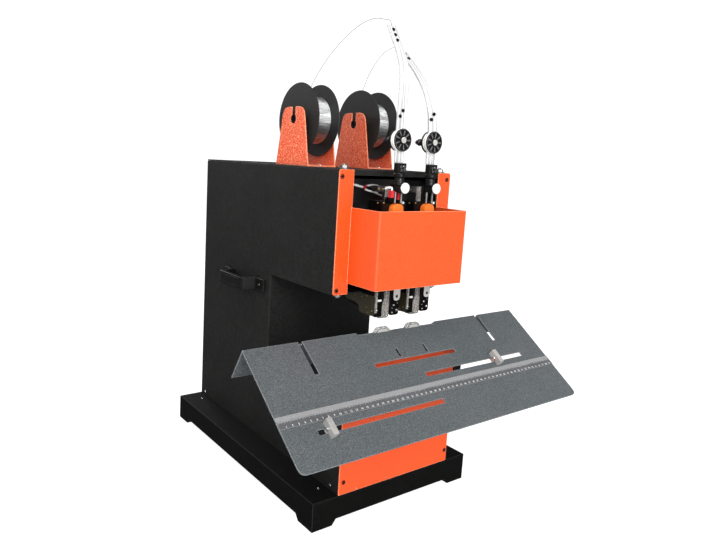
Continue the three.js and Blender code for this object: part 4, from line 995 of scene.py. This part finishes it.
def strip_face(side, height):
    """A place on a strip's bent front face at a height, and the way out of it, as (Y, Z)."""
    one, two, three, four = (Vector(point) for point in STRIP_BENDS[side])
    low, high = 0.0, 1.0
    for _ in range(40):
        t = (low + high) / 2
        r = 1 - t
        here = one * r ** 3 + two * 3 * r * r * t + three * 3 * r * t * t + four * t ** 3
        low, high = (t, high) if here.y < height else (low, t)
    along = (two - one) * r * r + (three - two) * 2 * r * t + (four - three) * t * t
    out = Vector((-along.y, along.x)).normalized()
    return here + out * 1.2, out


def make_strips():
    """Spring strips that lead the wire down, with their small screws."""
    for side in SIDES:
        dressed(f"{side}_guide_strip", "strip", 0.0003, angle=50)
    low_screws = ((-34.6, 672), (-40, 663), (35, 672), (30, 663))
    places = [(x, STRIP_SCREW_FACE, z, FRONT, 2.9) for x, z in low_screws]
    for side, x, heights in (("left", -34.6, (799, 790, 781)), ("right", 35, (775, 766))):
        for height in heights:
            spot, out = strip_face(side, height)
            places.append((x, *spot, (0, *out), 2.9))
    fasteners("strip_screws", "socket", places, "blued", steps=12)


def make_tension_units():
    """Spoked discs with felt rings on both sides of each strip."""
    for side in SIDES:
        knob, plate, axle = (f"{side}_tension_{name}" for name in ("knob", "plate", "axle"))
        body = f"{side}_tension"
        low, high = span(knob)
        x, _, z = core(knob)
        front, back = low.y, high.y
        rim = (high.x - low.x) / 2
        disc = Form().turned(shifted([
            (rim - 2.6, 1.2), (rim - 2.6, 0.3), (rim - 2.2, 0), (rim - 0.5, 0), (rim, 0.5), (rim, 1.9),
            (rim - 0.4, 2.3), (3.4, 2.3), (3.4, 1.2),
        ], front), "y", (x, z), 64, ring=True)
        disc.turned(shifted([
            (4.0, 1.4), (4.0, 0.2), (4.4, 0), (6.6, 0), (7.0, 0.4), (7.0, 1.4),
        ], front), "y", (x, z), 40, ring=True)
        disc.make(f"{body}_disc", "plastic", "black_plastic", (knob,), body)
        spokes = Form()
        shape = rounded([(7.2, -0.5), (rim - 2.8, -1.3), (rim - 2.8, 1.3), (7.2, 0.5)])
        for spoke in range(9):
            turn = Matrix.Translation((x, 0, z)) @ Matrix.Rotation(spoke * math.tau / 9, 4, "Y")
            spokes.drawn(shape, "y", (front + 0.2, front + 1.5), 0.3, 1, turn)
        spokes.make(f"{body}_spokes", "knurl", "black_plastic", (), body)
        # a thin grey ring near the disc's edge: a painted highlight
        bright = [(rim - 1.5, 0.1), (rim - 1.5, -0.05), (rim - 0.7, -0.05), (rim - 0.7, 0.1)]
        Form().turned(shifted(bright, front), "y", (x, z), 64, ring=True).make(
            f"{body}_rim", "cast", "black_plastic", (), body)
        felt = shifted([(3.4, 2.35), (rim - 0.9, 2.35), (rim - 0.4, 2.8)], front)
        felt += shifted([(rim - 0.4, 0.9), (rim - 0.9, 1.3), (3.4, 1.3)], back)
        Form().turned(felt, "y", (x, z), 64, ring=True).make(
            f"{side}_front_felt", "felt", "white_plastic", (), body)
        low, high = span(plate)
        front, back, rim = low.y, high.y, (high.x - low.x) / 2
        felt = [(3.4, 0), (rim - 0.8, 0), (rim - 0.3, 0.4), (rim - 0.3, 1.9), (3.4, 1.9)]
        Form().turned(shifted(felt, front), "y", (x, z), 64, ring=True).make(
            f"{side}_rear_felt", "felt", "white_plastic")
        disc = shifted([(3.4, 1.95), (rim + 0.4, 1.95), (rim + 1, 2.5)], front)
        disc += shifted([(rim + 1, -0.5), (rim + 0.5, 0), (6, 0), (5.4, -0.8), (3.4, -0.8)], back)
        Form().turned(disc, "y", (x, z), 64, ring=True).make(
            f"{side}_rear_disc", "plastic", "black_plastic", (plate,))
        low, high = span(axle)
        hub = [
            (0, 0.5), (1.7, 0.45, "six"), (1.9, 0, "six"), (4.4, 0), (4.9, 0.5), (4.9, 1.4), (0, 1.4),
        ]
        Form().turned(shifted(hub, low.y), "y", (x, z), 40).make(
            f"{body}_hub", "strap", "bright_steel")
        spindle = shifted([(0, 1.45), (4.9, 1.45), (4.9, 2), (3, 2)], low.y)
        spindle += shifted([
            (3, -12), (5.3, -12), (5.6, -11.7), (5.6, -10.9), (5.3, -10.6), (4.6, -10.6),
            (5, -10.2, "six"), (5, -5.6, "six"), (4.6, -5.2), (3.6, -5.2), (3.6, -1.2), (3, -0.4),
            (2.4, 0), (0, 0),
        ], high.y)
        Form().turned(spindle, "y", (x, z)).make(f"{body}_spindle", "dark", "bright_steel", (axle,))


def make_inlets():
    """Wire inlets with their ribbed necks, rods and white knobs."""
    line = INLET_LINE
    for side in SIDES:
        inlet, feed = f"{side}_wire_inlet", f"{side}_feed_knob"
        low, high = span(inlet)
        x = HEAD_X[side]
        top = high.z
        body = Form().drawn(
            slab((-9, 9), (line - 5.5, line + 5.5), (1.2,) * 4, x=x), "z", (top - 16.5, top), 0.6)
        body.turned(shifted([
            (0, -16), (9.4, -16), (10.2, -17), (10.2, -21), (9, -22.6), (6.8, -23.4), (6.6, -34), (0, -34),
        ], top), "z", (x, line), 40)
        body.drawn(slab((-4, 9), (low.y, high.y), (2, 1.5, 0, 0), x=x), "z", (543, 555.8), 0.5)
        rib = [(6.2, 0), (7.3, 0), (7.9, 0.4), (7.9, 1.2), (7.3, 1.6), (6.2, 1.6)]
        row_of(Form().turned(rib, "z", (x, line), 40, ring=True), f"{side}_neck_ribs", "dark",
               4, 2.6, 556.2)
        body.make(f"{side}_inlet_body", "plastic", "black_plastic", (inlet,))
        # the holes and the top slot are dark discs and a dark block on the faces: painted shade
        rims, holes = Form(), Form()
        rim = shifted([(1.2, -5.66), (1.9, -5.66), (2.1, -5.4), (1.2, -5.4)], line)
        hole = shifted([(0, -5.56), (1.3, -5.56), (1.3, -5.2), (0, -5.2)], line)
        for across, down in ((-2.6, 6), (4.4, 5.2), (-1.4, 11.4), (5, 11)):
            rims.turned(rim, "y", (x + across, top - down), 20, ring=True)
            holes.turned(hole, "y", (x + across, top - down), 16)
        holes.drawn(slab((-1.2, 1.2), (line - 3, line + 3), x=x), "z", (top - 1, top + 0.02), 0)
        rims.make(f"{side}_inlet_hole_rims", "knurl", "black_plastic")
        holes.make(f"{side}_inlet_holes", "rubber", "black_plastic")
        # two bright studs beside the holes: painted highlights
        glints = [(x + 1.6, line - 5.5, top - 5.2, FRONT, 0.9), (x + 6.4, line - 5.5, top - 8.6, FRONT, 0.7)]
        fasteners(f"{side}_inlet_pins", "rivet", glints, "bright", steps=12)
        rods = Form()
        for across in (-6.5, 6.5):
            rods.turned(
                [(0, 526), (1.3, 526), (1.7, 526.5), (1.7, 544), (0, 544)], "z", (x + across, line), 24)
        rods.make(f"{side}_inlet_rods", "cast", "bright_steel")
        low, high = span(feed)
        knob = shifted([
            (0, 0), (3, 0), (7.4, 0.1), (8.2, 0.4), (8.5, 0.9), (8.5, 2.4), (8.1, 2.9), (5.6, 3.1),
            (5.2, 6.6), (2.5, 7.2),
        ], low.y) + [(2.5, high.y), (0, high.y)]
        Form().turned(knob, "y", (x, core(feed)[2]), 56).make(
            f"{side}_knob_turned", "white", "white_plastic", (feed,), f"{feed}_body")


# Screws, relief and cheek rivets of one head; X is counted from the head's middle line
HEAD_SCREWS = (
    (-23.4, -1.4, 349.5, 2.2), (14.5, 0, 355, 2.0), (12, 0, 342.3, 1.5), (21.5, 0, 346, 2.3),
    (11.2, 0, 350, 1.0), (22.4, 0, 358, 1.0),
)
DRIVER_SLOTS = ((-7.4, -3.2, 356, 388), (-1.6, -0.9, 364, 398), (4.4, 5.2, 356, 392))
DRIVER_FOOT = (
    (-9.6, 352.6, 1), (-9.6, 343, 1), (-1, 334.4, 2), (2, 333.2, 1), (7.6, 335.6, 2), (7.6, 362.8, 1),
    (-3.2, 366.6, 1),
)
DRIVER_NOSE = ((4.4, -2.0, 336.6, 2.3), (-5.2, -2.1, 347, 1.2), (1.2, -2.1, 342, 1.0))
CHEEK = (
    (-168, 372.3, 1), (-246, 372.3, 1), (-246, 339.4, 3), (-227, 338.3, 3), (-208, 339.8, 2),
    (-205, 351, 2), (-194, 353.6, 1), (-168, 355, 1),
)
CHEEK_RIVETS = (
    (-190, 369.5), (-226, 369.8), (-198, 360.7), (-225.7, 351), (-229.5, 343), (-193, 364.6),
    (-240, 347), (-212, 366),
)


def make_heads():
    """Head blocks, driver bars, formers, straps, rails and rivets."""
    face = HEAD_FACE
    for side in SIDES:
        x = HEAD_X[side]
        dressed(f"{side}_head_body", "blued", 0.0007)
        dressed(f"{side}_driver_bar", "former", 0.0005)
        dressed(f"{side}_feed_lever", "lever", 0.0006)
        strap = slab((9.7, 24.3), (363.2, 399.5), (7.3, 7.3, 1, 1), 8, x)
        Form().drawn(strap, "y", (face - 3.5, face - 2.9), 0.2, 1).make(
            f"{side}_strap_face", "strap", "bright_steel")
        # the strap's hole is a dark disc on its face: painted shade
        hole = shifted([(0, -3.62), (2.6, -3.62), (2.6, -3.3), (0, -3.3)], face)
        Form().turned(hole, "y", (x + 17, 370.5), 24).make(f"{side}_strap_hole", "rubber", "dark_steel")
        Form().block((x - 26.3, x - 22.8), (face - 1.4, face + 3), (345, 399), 0.5).make(
            f"{side}_head_rail", "former", "dark_steel")
        peg = shifted([(0, -22.5), (1.7, -22.5), (1.9, -22), (1.9, -16.4), (0, -16)], x)
        Form().turned(peg, "x", (face - 2, 366), 20).make(f"{side}_head_peg", "white", "white_plastic")
        screws = [(x + a, face + b, z, FRONT, radius) for a, b, z, radius in HEAD_SCREWS]
        fasteners(f"{side}_head_screws", "domed", screws, "bright", steps=16)
        button = shifted([(0, -3.4), (1.8, -3.4), (2.2, -3), (2.2, 0.5), (0, 0.5)], face)
        Form().turned(button, "y", (x + 17, 526), 20).make(
            f"{side}_head_button", "white", "white_plastic")
        gold = [(x - 26, -236.5, 524.6, OUTWARD["left"], 1.5), (x - 22, face, 525.4, FRONT, 1.5)]
        fasteners(f"{side}_head_gold_screws", "domed", gold, "brass", steps=16)
        # relief on the driver's face: a slot and two grooves drawn as dark sheets of painted shade, a bright
        # edge and a textured foot
        bar = span(f"{side}_driver_bar")[0].y
        plate = slab((-10, 7.6), (350, 400), (1, 1, 2, 2), x=x)
        Form().drawn(plate, "y", (bar - 1.3, bar + 0.2), 0.5).make(
            f"{side}_driver_face", "former", "bright_steel", (), "ram")
        slot = Form()
        for left, right, low, high in DRIVER_SLOTS:
            ends = ((right - left) / 2 - 0.05,) * 4
            slot.drawn(slab((left, right), (low, high), ends, x=x), "y", (bar - 1.5, bar - 1.1), 0)
        slot.make(f"{side}_driver_slot", "rubber", "dark_steel", (), "ram")
        Form().drawn(rounded(DRIVER_FOOT, x=x), "y", (bar - 2.2, bar + 0.2), 0.6).make(
            f"{side}_driver_foot", "former", "bright_steel", (), "ram")
        nose = [(x + a, bar + b, z, FRONT, radius) for a, b, z, radius in DRIVER_NOSE]
        fasteners(f"{side}_driver_nose", "rivet", nose, "bright", "ram", 16)
        cheeks, rivets = Form(), []
        for way, sign in SIDES.items():
            cheeks.drawn(rounded(CHEEK), "x", sorted((x + sign * 25.9, x + sign * 26.9)), 0.3, 1)
            rivets += [(x + sign * 26.9, y, z, OUTWARD[way], 1.2) for y, z in CHEEK_RIVETS]
        cheeks.make(f"{side}_cheek_plates", "olive", "black_steel")
        fasteners(f"{side}_cheek_rivets", "rivet", rivets, "brass", steps=12)


def make_drive():
    """Ram bar, beam, crank shaft, motor, clincher post and clinchers."""
    for node in ("ram_bar", "head_beam", "clincher_post"):
        dressed(node, "dark", 0.0006)
    dressed("drive_shaft", "bright", 0.0004)
    dressed("drive_motor", "motor", 0.0015)
    for side in SIDES:
        x = HEAD_X[side]
        node, body = f"{side}_clincher", "clinchers"
        dressed(node, "strip", 0.0004)
        low, high = span(node)
        foot, face = low.z + 0.2, low.y
        groove = [(-14.6, foot), (14.6, foot), (10.6, high.z - 1.9, 2.6), (-10.6, high.z - 1.9, 2.6)]
        Form().drawn(rounded(groove, x=x), "y", (face - 0.25, face + 0.2), 0.1, 1).make(
            f"{node}_groove", "blued", "dark_steel", (), body)
        plate = [(-12.8, foot), (13.4, foot), (9.8, high.z - 2.7, 2.2), (-9.6, high.z - 2.7, 2.2)]
        Form().drawn(rounded(plate, x=x), "y", (face - 0.5, face + 0.2), 0.15, 1).make(
            f"{node}_plate", "strap", "bright_steel", (), body)
        pins = [(x + across, face - 0.5, low.z + 2.6, FRONT, 1.1) for across in (-9.5, 9.5)]
        fasteners(f"{node}_pins", "rivet", pins, "bright", body, 12)
    # a row of screws on the ram bar
    places = [(x, -234.5, 547, FRONT, 1.5) for x in (-58, -50, -12, 12, 50, 58)]
    fasteners("ram_screws", "domed", places, "brass", "ram", 12)


# Profiles of a tie rod's foot, from its low end, and of its head with washer and nut, from its top
ROD_FOOT = (
    (0, 0), (2.4, 0), (3, 0.6), (3, 2), (5.2, 2), (5.8, 2.5, "six"), (5.8, 6.5, "six"), (5.3, 7), (3, 7),
)
ROD_HEAD = (
    (3, -8.2), (8.3, -8.2), (8.7, -7.9), (8.7, -7.3), (8.3, -7), (5.4, -7), (5.8, -6.5, "six"),
    (5.8, -2.5, "six"), (5.2, -2), (3, -2), (3, -0.6), (2.4, 0), (0, 0),
)


def make_tie_rods():
    """Tie rods with washers and hexagon nuts."""
    for side in SIDES:
        node = f"{side}_tie_rod"
        low, high = span(node)
        rod = shifted(ROD_FOOT, low.z) + shifted(ROD_HEAD, high.z)
        Form().turned(rod, "z", core(node)[:2]).make(f"{node}_turned", "cast", "bright_steel", (node,))


LEAD_POINTS = (
    (-122.7, -178, 554), (-116.7, -178, 554), (-95, -178, 554), (-69, -176.5, 551),
    (-22.6, -175, 541.6), (5.7, -170.8, 533.5), (11.7, -170.8, 533.5),
)
# The lead's two thin ends: the first places from where it splits, the last from its far end
LEAD_ENDS = (
    (((4, -1, 2.4), (12, -1, 4), (24, -1, 4.5)), ((-4, -1, 8), (0, 0, 4))),
    (((2, -1, -3), (9, -2, -5.5), (22, -1, -7.5)), ((-6, -1, -2), (0, 0, 0))),
)
PLUG_END = ((-15, -240, 548), (-14, -247, 550.4), (-11.5, -251.8, 549.6), (-11.6, -251.9, 545.6))


def make_electrics():
    """The switch, the sleeved lead with its two ends and the red terminals."""
    dressed("rocker_switch", "plastic", 0.0004)
    _, y, z = core("rocker_switch")
    bezel = Form()
    for near, far in ((-11, -7.5), (7.5, 11)):
        bezel.block((SWITCH_WALL, SWITCH_BEZEL), (y + near, y + far), (z - 16.5, z + 16.5), 0.4)
    for near, far in ((-16.5, -13.2), (13.2, 16.5)):
        bezel.block((SWITCH_WALL, SWITCH_BEZEL), (y - 8, y + 8), (z + near, z + far), 0.4)
    bezel.make("switch_bezel", "plastic", "black_plastic")
    dressed("terminal_block", "red", 0.0005)
    low, middle = span("terminal_block")[0], core("terminal_block")[2]
    places = [(low.x + across, low.y, middle + 2.6, FRONT, 2) for across in (6, 12, 26, 32)]
    fasteners("terminal_screws", "domed", places, "bright", steps=12)
    path = smooth_path(LEAD_POINTS, 90)
    Form().tube(path[:52], 2.1, 14).make("lead_sleeve", "sleeve", "white_plastic", ("sensor_lead",))
    split, end = path[53], path[-1]
    joint = Form().tube(path[51:55], 1.7)
    joint.tube([split + Vector((1, 0, 0.5)), split + Vector((6, -1, 3))], 1.9)
    joint.tube([split + Vector((0.5, 0, -1)), split + Vector((4, -1, -4))], 1.7)
    joint.make("lead_joint", "red", "red_plastic")
    ends = Form()
    for first, last in LEAD_ENDS:
        route = [split + Vector(step) for step in first] + [end + Vector(step) for step in last]
        ends.tube(smooth_path(route, 30), 1.6)
    ends.make("lead_ends", "sleeve", "white_plastic")
    # two plugs on the left head, the first with a short white end of its own
    x = HEAD_X["left"]
    plugs = Form().block((x - 15.2, x - 9.2), (-256, -247.6), (534.5, 546), 0.5)
    plugs.block((x + 2.6, x + 10.4), (-252.6, -247.6), (531, 542.6), 0.5)
    plugs.make("head_plugs", "red", "red_plastic")
    feet = Form().block((x - 15.6, x - 8.6), (-254, -241), (527.5, 534.7), 0.4)
    feet.block((x + 2.2, x + 10.8), (-252.4, -241), (527.5, 531.2), 0.4)
    feet.make("head_plug_feet", "blued", "dark_steel")
    Form().tube(smooth_path([(x + a, b, c) for a, b, c in PLUG_END], 16), 1.5).make(
        "head_plug_end", "sleeve", "white_plastic")


# The floor's profile, curving up far behind, and the lights as (place, power, size) in metres and watts
FLOOR = (
    (0, 0), (3000, 0), (4200, 150), (5000, 700), (5400, 1800), (5500, 4500), (5600, 4500), (5600, -50),
    (0, -50),
)
LIGHTS = {
    "key": ((-1.6, -2.8, 2.1), 60, 1.5), "top": ((-1.1, -0.8, 2.9), 46, 2.0),
    "front": ((-0.6, -3.0, 0.9), 34, 1.4), "left": ((-3.2, -0.4, 1.6), 10, 1.6),
    "right": ((2.9, -1.2, 1.9), 12, 2.0), "back": ((-0.3, 3.0, 1.9), 44, 2.0),
}
LIT_POINT = Vector((0, 0, 0.35))
ROOM_LIGHT = 0.09
# The camera of the photo: place, the turn, lift and roll of its view, and its lens
CAMERA_PLACE = Vector((-730.5, -1006.6, 592.4))
CAMERA_ANGLES = (-36.0168, 8.3327, 3.0203)
CAMERA_LENS = {"sensor_width": 36, "lens": 31.6035, "shift_x": 40 / 720, "shift_y": -20 / 720}


def make_stage(scene):
    """Floor, lights and camera."""
    mesh = Form().turned(FLOOR, "z", (0, 0), 96).data("floor")
    mesh.materials.append(make_studio_floor())
    mesh.shade_smooth()
    floor = temporary("floor", mesh)
    floor.visible_glossy = False
    scene.view_settings.view_transform = "Standard"
    scene.world = bpy.data.worlds.new("soft white room")
    scene.world.use_nodes = True
    room = scene.world.node_tree.nodes["Background"].inputs
    room["Color"].default_value = (1, 1, 1, 1)
    room["Strength"].default_value = ROOM_LIGHT
    for name, (place, power, size) in LIGHTS.items():
        data = bpy.data.lights.new(name, "AREA")
        data.energy = power
        data.shape = "DISK"
        data.size = size
        light = temporary(name, data)
        light.location = place
        light.rotation_euler = (LIT_POINT - Vector(place)).to_track_quat("-Z", "Y").to_euler()
    data = bpy.data.cameras.new("photo view")
    for label, value in CAMERA_LENS.items():
        setattr(data, label, value)
    camera = temporary("photo view", data)
    turn, lift, roll = (math.radians(angle) for angle in CAMERA_ANGLES)
    back = Vector((
        math.sin(turn) * math.cos(lift), -math.cos(turn) * math.cos(lift), math.sin(lift),
    ))
    right = (-back).cross(Vector(UPWARD)).normalized()
    up = right.cross(-back)
    aside = right * math.cos(roll) + up * math.sin(roll)
    above = up * math.cos(roll) - right * math.sin(roll)
    place = Matrix((aside, above, back)).transposed().to_4x4()
    place.translation = TO_FRAME @ CAMERA_PLACE
    camera.matrix_world = place
    scene.camera = camera


# Sizes and colours that a user may change

class StitcherPaints(bpy.types.PropertyGroup):
    orange: FloatVectorProperty(
        name="Orange", description="Colour of the guard, front panel and spool brackets",
        default=(0.76, 0.07, 0.006), size=3, min=0, max=1, subtype="COLOR")
    black: FloatVectorProperty(
        name="Black", description="Colour of the body and the tray",
        default=(0.0098, 0.0102, 0.0095), size=3, min=0, max=1, subtype="COLOR")
    table: FloatVectorProperty(
        name="Table", description="Colour of the saddle table",
        default=(0.074, 0.083, 0.087), size=3, min=0, max=1, subtype="COLOR")


class StitcherEdges(bpy.types.PropertyGroup):
    sheet: FloatProperty(
        name="Sheet Edge", description="Rounding of bent and cut sheet metal", default=0.0005,
        min=0, unit="LENGTH")
    tray: FloatProperty(
        name="Tray Edge", description="Rounding of the base tray", default=0.0008, min=0, unit="LENGTH")
    table: FloatProperty(
        name="Table Edge", description="Rounding of the table's edges and slots", default=0.0003,
        min=0, unit="LENGTH")
    moulding: FloatProperty(
        name="Moulded Edge", description="Rounding of the moulded handles", default=0.0016,
        min=0, unit="LENGTH")


class StitcherWire(bpy.types.PropertyGroup):
    thickness: FloatProperty(
        name="Wire", description="Thickness of the stitching wire", default=0.0008, min=0.0002,
        unit="LENGTH")
    loops: IntProperty(
        name="Loops", description="Turns of wire that show on each spool", default=43, min=1, max=90)


class StitcherRuler(bpy.types.PropertyGroup):
    pitch: FloatProperty(
        name="Pitch", description="Distance from tick to tick", default=0.001, min=0.0005, unit="LENGTH")
    tick_width: FloatProperty(
        name="Tick Width", description="Width of one tick", default=0.00032, min=0.0001, unit="LENGTH")
    tick_length: FloatProperty(
        name="Tick Length", description="Length of a short tick", default=0.0022, min=0.0005,
        unit="LENGTH")
    numeral_height: FloatProperty(
        name="Numerals", description="Height of the numerals", default=0.0034, min=0.001, unit="LENGTH")


GROUPS = {
    "stitcher_paints": StitcherPaints,
    "stitcher_edges": StitcherEdges,
    "stitcher_wire": StitcherWire,
    "stitcher_ruler": StitcherRuler,
}
DONE = {"FINISHED"}


class STITCHER_OT_stage(bpy.types.Operator):
    """Add the pale floor, the soft lights and the camera"""
    bl_idname = "stitcher.stage"
    bl_label = "Stage"

    def execute(self, context):
        make_stage(context.scene)
        return DONE


class STITCHER_OT_body(bpy.types.Operator):
    """Add the tray, the side panels and the covers"""
    bl_idname = "stitcher.body"
    bl_label = "Body"

    def execute(self, context):
        make_body(context.scene)
        return DONE


class STITCHER_OT_front(bpy.types.Operator):
    """Add the orange guard and the lower front panel"""
    bl_idname = "stitcher.front"
    bl_label = "Guard and Front Panel"

    def execute(self, context):
        make_front(context.scene)
        return DONE


class STITCHER_OT_handles(bpy.types.Operator):
    """Add the carrying handles"""
    bl_idname = "stitcher.handles"
    bl_label = "Handles"

    def execute(self, context):
        make_handles(context.scene)
        return DONE


class STITCHER_OT_table(bpy.types.Operator):
    """Add the saddle table with its ruler"""
    bl_idname = "stitcher.table"
    bl_label = "Table and Ruler"

    def execute(self, context):
        make_table(context.scene)
        return DONE


class STITCHER_OT_guides(bpy.types.Operator):
    """Add the sliding paper guides"""
    bl_idname = "stitcher.guides"
    bl_label = "Paper Guides"

    def execute(self, context):
        make_guides()
        return DONE


class STITCHER_OT_spools(bpy.types.Operator):
    """Add the spool brackets, axles and spools"""
    bl_idname = "stitcher.spools"
    bl_label = "Spool Stands"

    def execute(self, context):
        make_spool_stands(context.scene)
        return DONE


class STITCHER_OT_windings(bpy.types.Operator):
    """Add the wound wire and the two free wires"""
    bl_idname = "stitcher.windings"
    bl_label = "Wire"

    def execute(self, context):
        make_windings(context.scene)
        return DONE


class STITCHER_OT_strips(bpy.types.Operator):
    """Add the spring guide strips"""
    bl_idname = "stitcher.strips"
    bl_label = "Guide Strips"

    def execute(self, context):
        make_strips()
        return DONE


class STITCHER_OT_tension(bpy.types.Operator):
    """Add the tension units"""
    bl_idname = "stitcher.tension"
    bl_label = "Tension Units"

    def execute(self, context):
        make_tension_units()
        return DONE


class STITCHER_OT_inlets(bpy.types.Operator):
    """Add the wire inlets and their knobs"""
    bl_idname = "stitcher.inlets"
    bl_label = "Wire Inlets"

    def execute(self, context):
        make_inlets()
        return DONE


class STITCHER_OT_heads(bpy.types.Operator):
    """Add the stitching heads"""
    bl_idname = "stitcher.heads"
    bl_label = "Stitching Heads"

    def execute(self, context):
        make_heads()
        return DONE


class STITCHER_OT_drive(bpy.types.Operator):
    """Add the ram, the crank, the motor and the clinchers"""
    bl_idname = "stitcher.drive"
    bl_label = "Drive and Clinchers"

    def execute(self, context):
        make_drive()
        return DONE


class STITCHER_OT_tie_rods(bpy.types.Operator):
    """Add the tie rods"""
    bl_idname = "stitcher.tie_rods"
    bl_label = "Tie Rods"

    def execute(self, context):
        make_tie_rods()
        return DONE


class STITCHER_OT_electrics(bpy.types.Operator):
    """Add the switch, the lead and the terminals"""
    bl_idname = "stitcher.electrics"
    bl_label = "Switch and Lead"

    def execute(self, context):
        make_electrics()
        return DONE


MAKERS = (
    STITCHER_OT_stage, STITCHER_OT_body, STITCHER_OT_front, STITCHER_OT_handles, STITCHER_OT_table,
    STITCHER_OT_guides, STITCHER_OT_spools, STITCHER_OT_windings, STITCHER_OT_strips,
    STITCHER_OT_tension, STITCHER_OT_inlets, STITCHER_OT_heads, STITCHER_OT_drive,
    STITCHER_OT_tie_rods, STITCHER_OT_electrics,
)


class STITCHER_PT_pieces(bpy.types.Panel):
    """Sizes, colours and makers of the wire stitching machine"""
    bl_idname = "STITCHER_PT_pieces"
    bl_label = "Wire Stitching Machine"
    bl_space_type = "VIEW_3D"
    bl_region_type = "UI"
    bl_category = "Stitcher"

    def draw(self, context):
        for label, group in GROUPS.items():
            box = self.layout.box()
            for prop in group.__annotations__:
                box.prop(getattr(context.scene, label), prop)
        for maker in MAKERS:
            self.layout.operator(maker.bl_idname)


CLASSES = (*GROUPS.values(), *MAKERS, STITCHER_PT_pieces)


def register():
    for item in CLASSES:
        bpy.utils.register_class(item)
    for label, group in GROUPS.items():
        setattr(bpy.types.Scene, label, PointerProperty(type=group))


def unregister():
    for label in GROUPS:
        delattr(bpy.types.Scene, label)
    for item in reversed(CLASSES):
        bpy.utils.unregister_class(item)


def main():
    """Makes every piece in order."""
    register()
    for maker in MAKERS:
        group, name = maker.bl_idname.split(".")
        getattr(getattr(bpy.ops, group), name)()


if __name__ == "__main__":
    main()
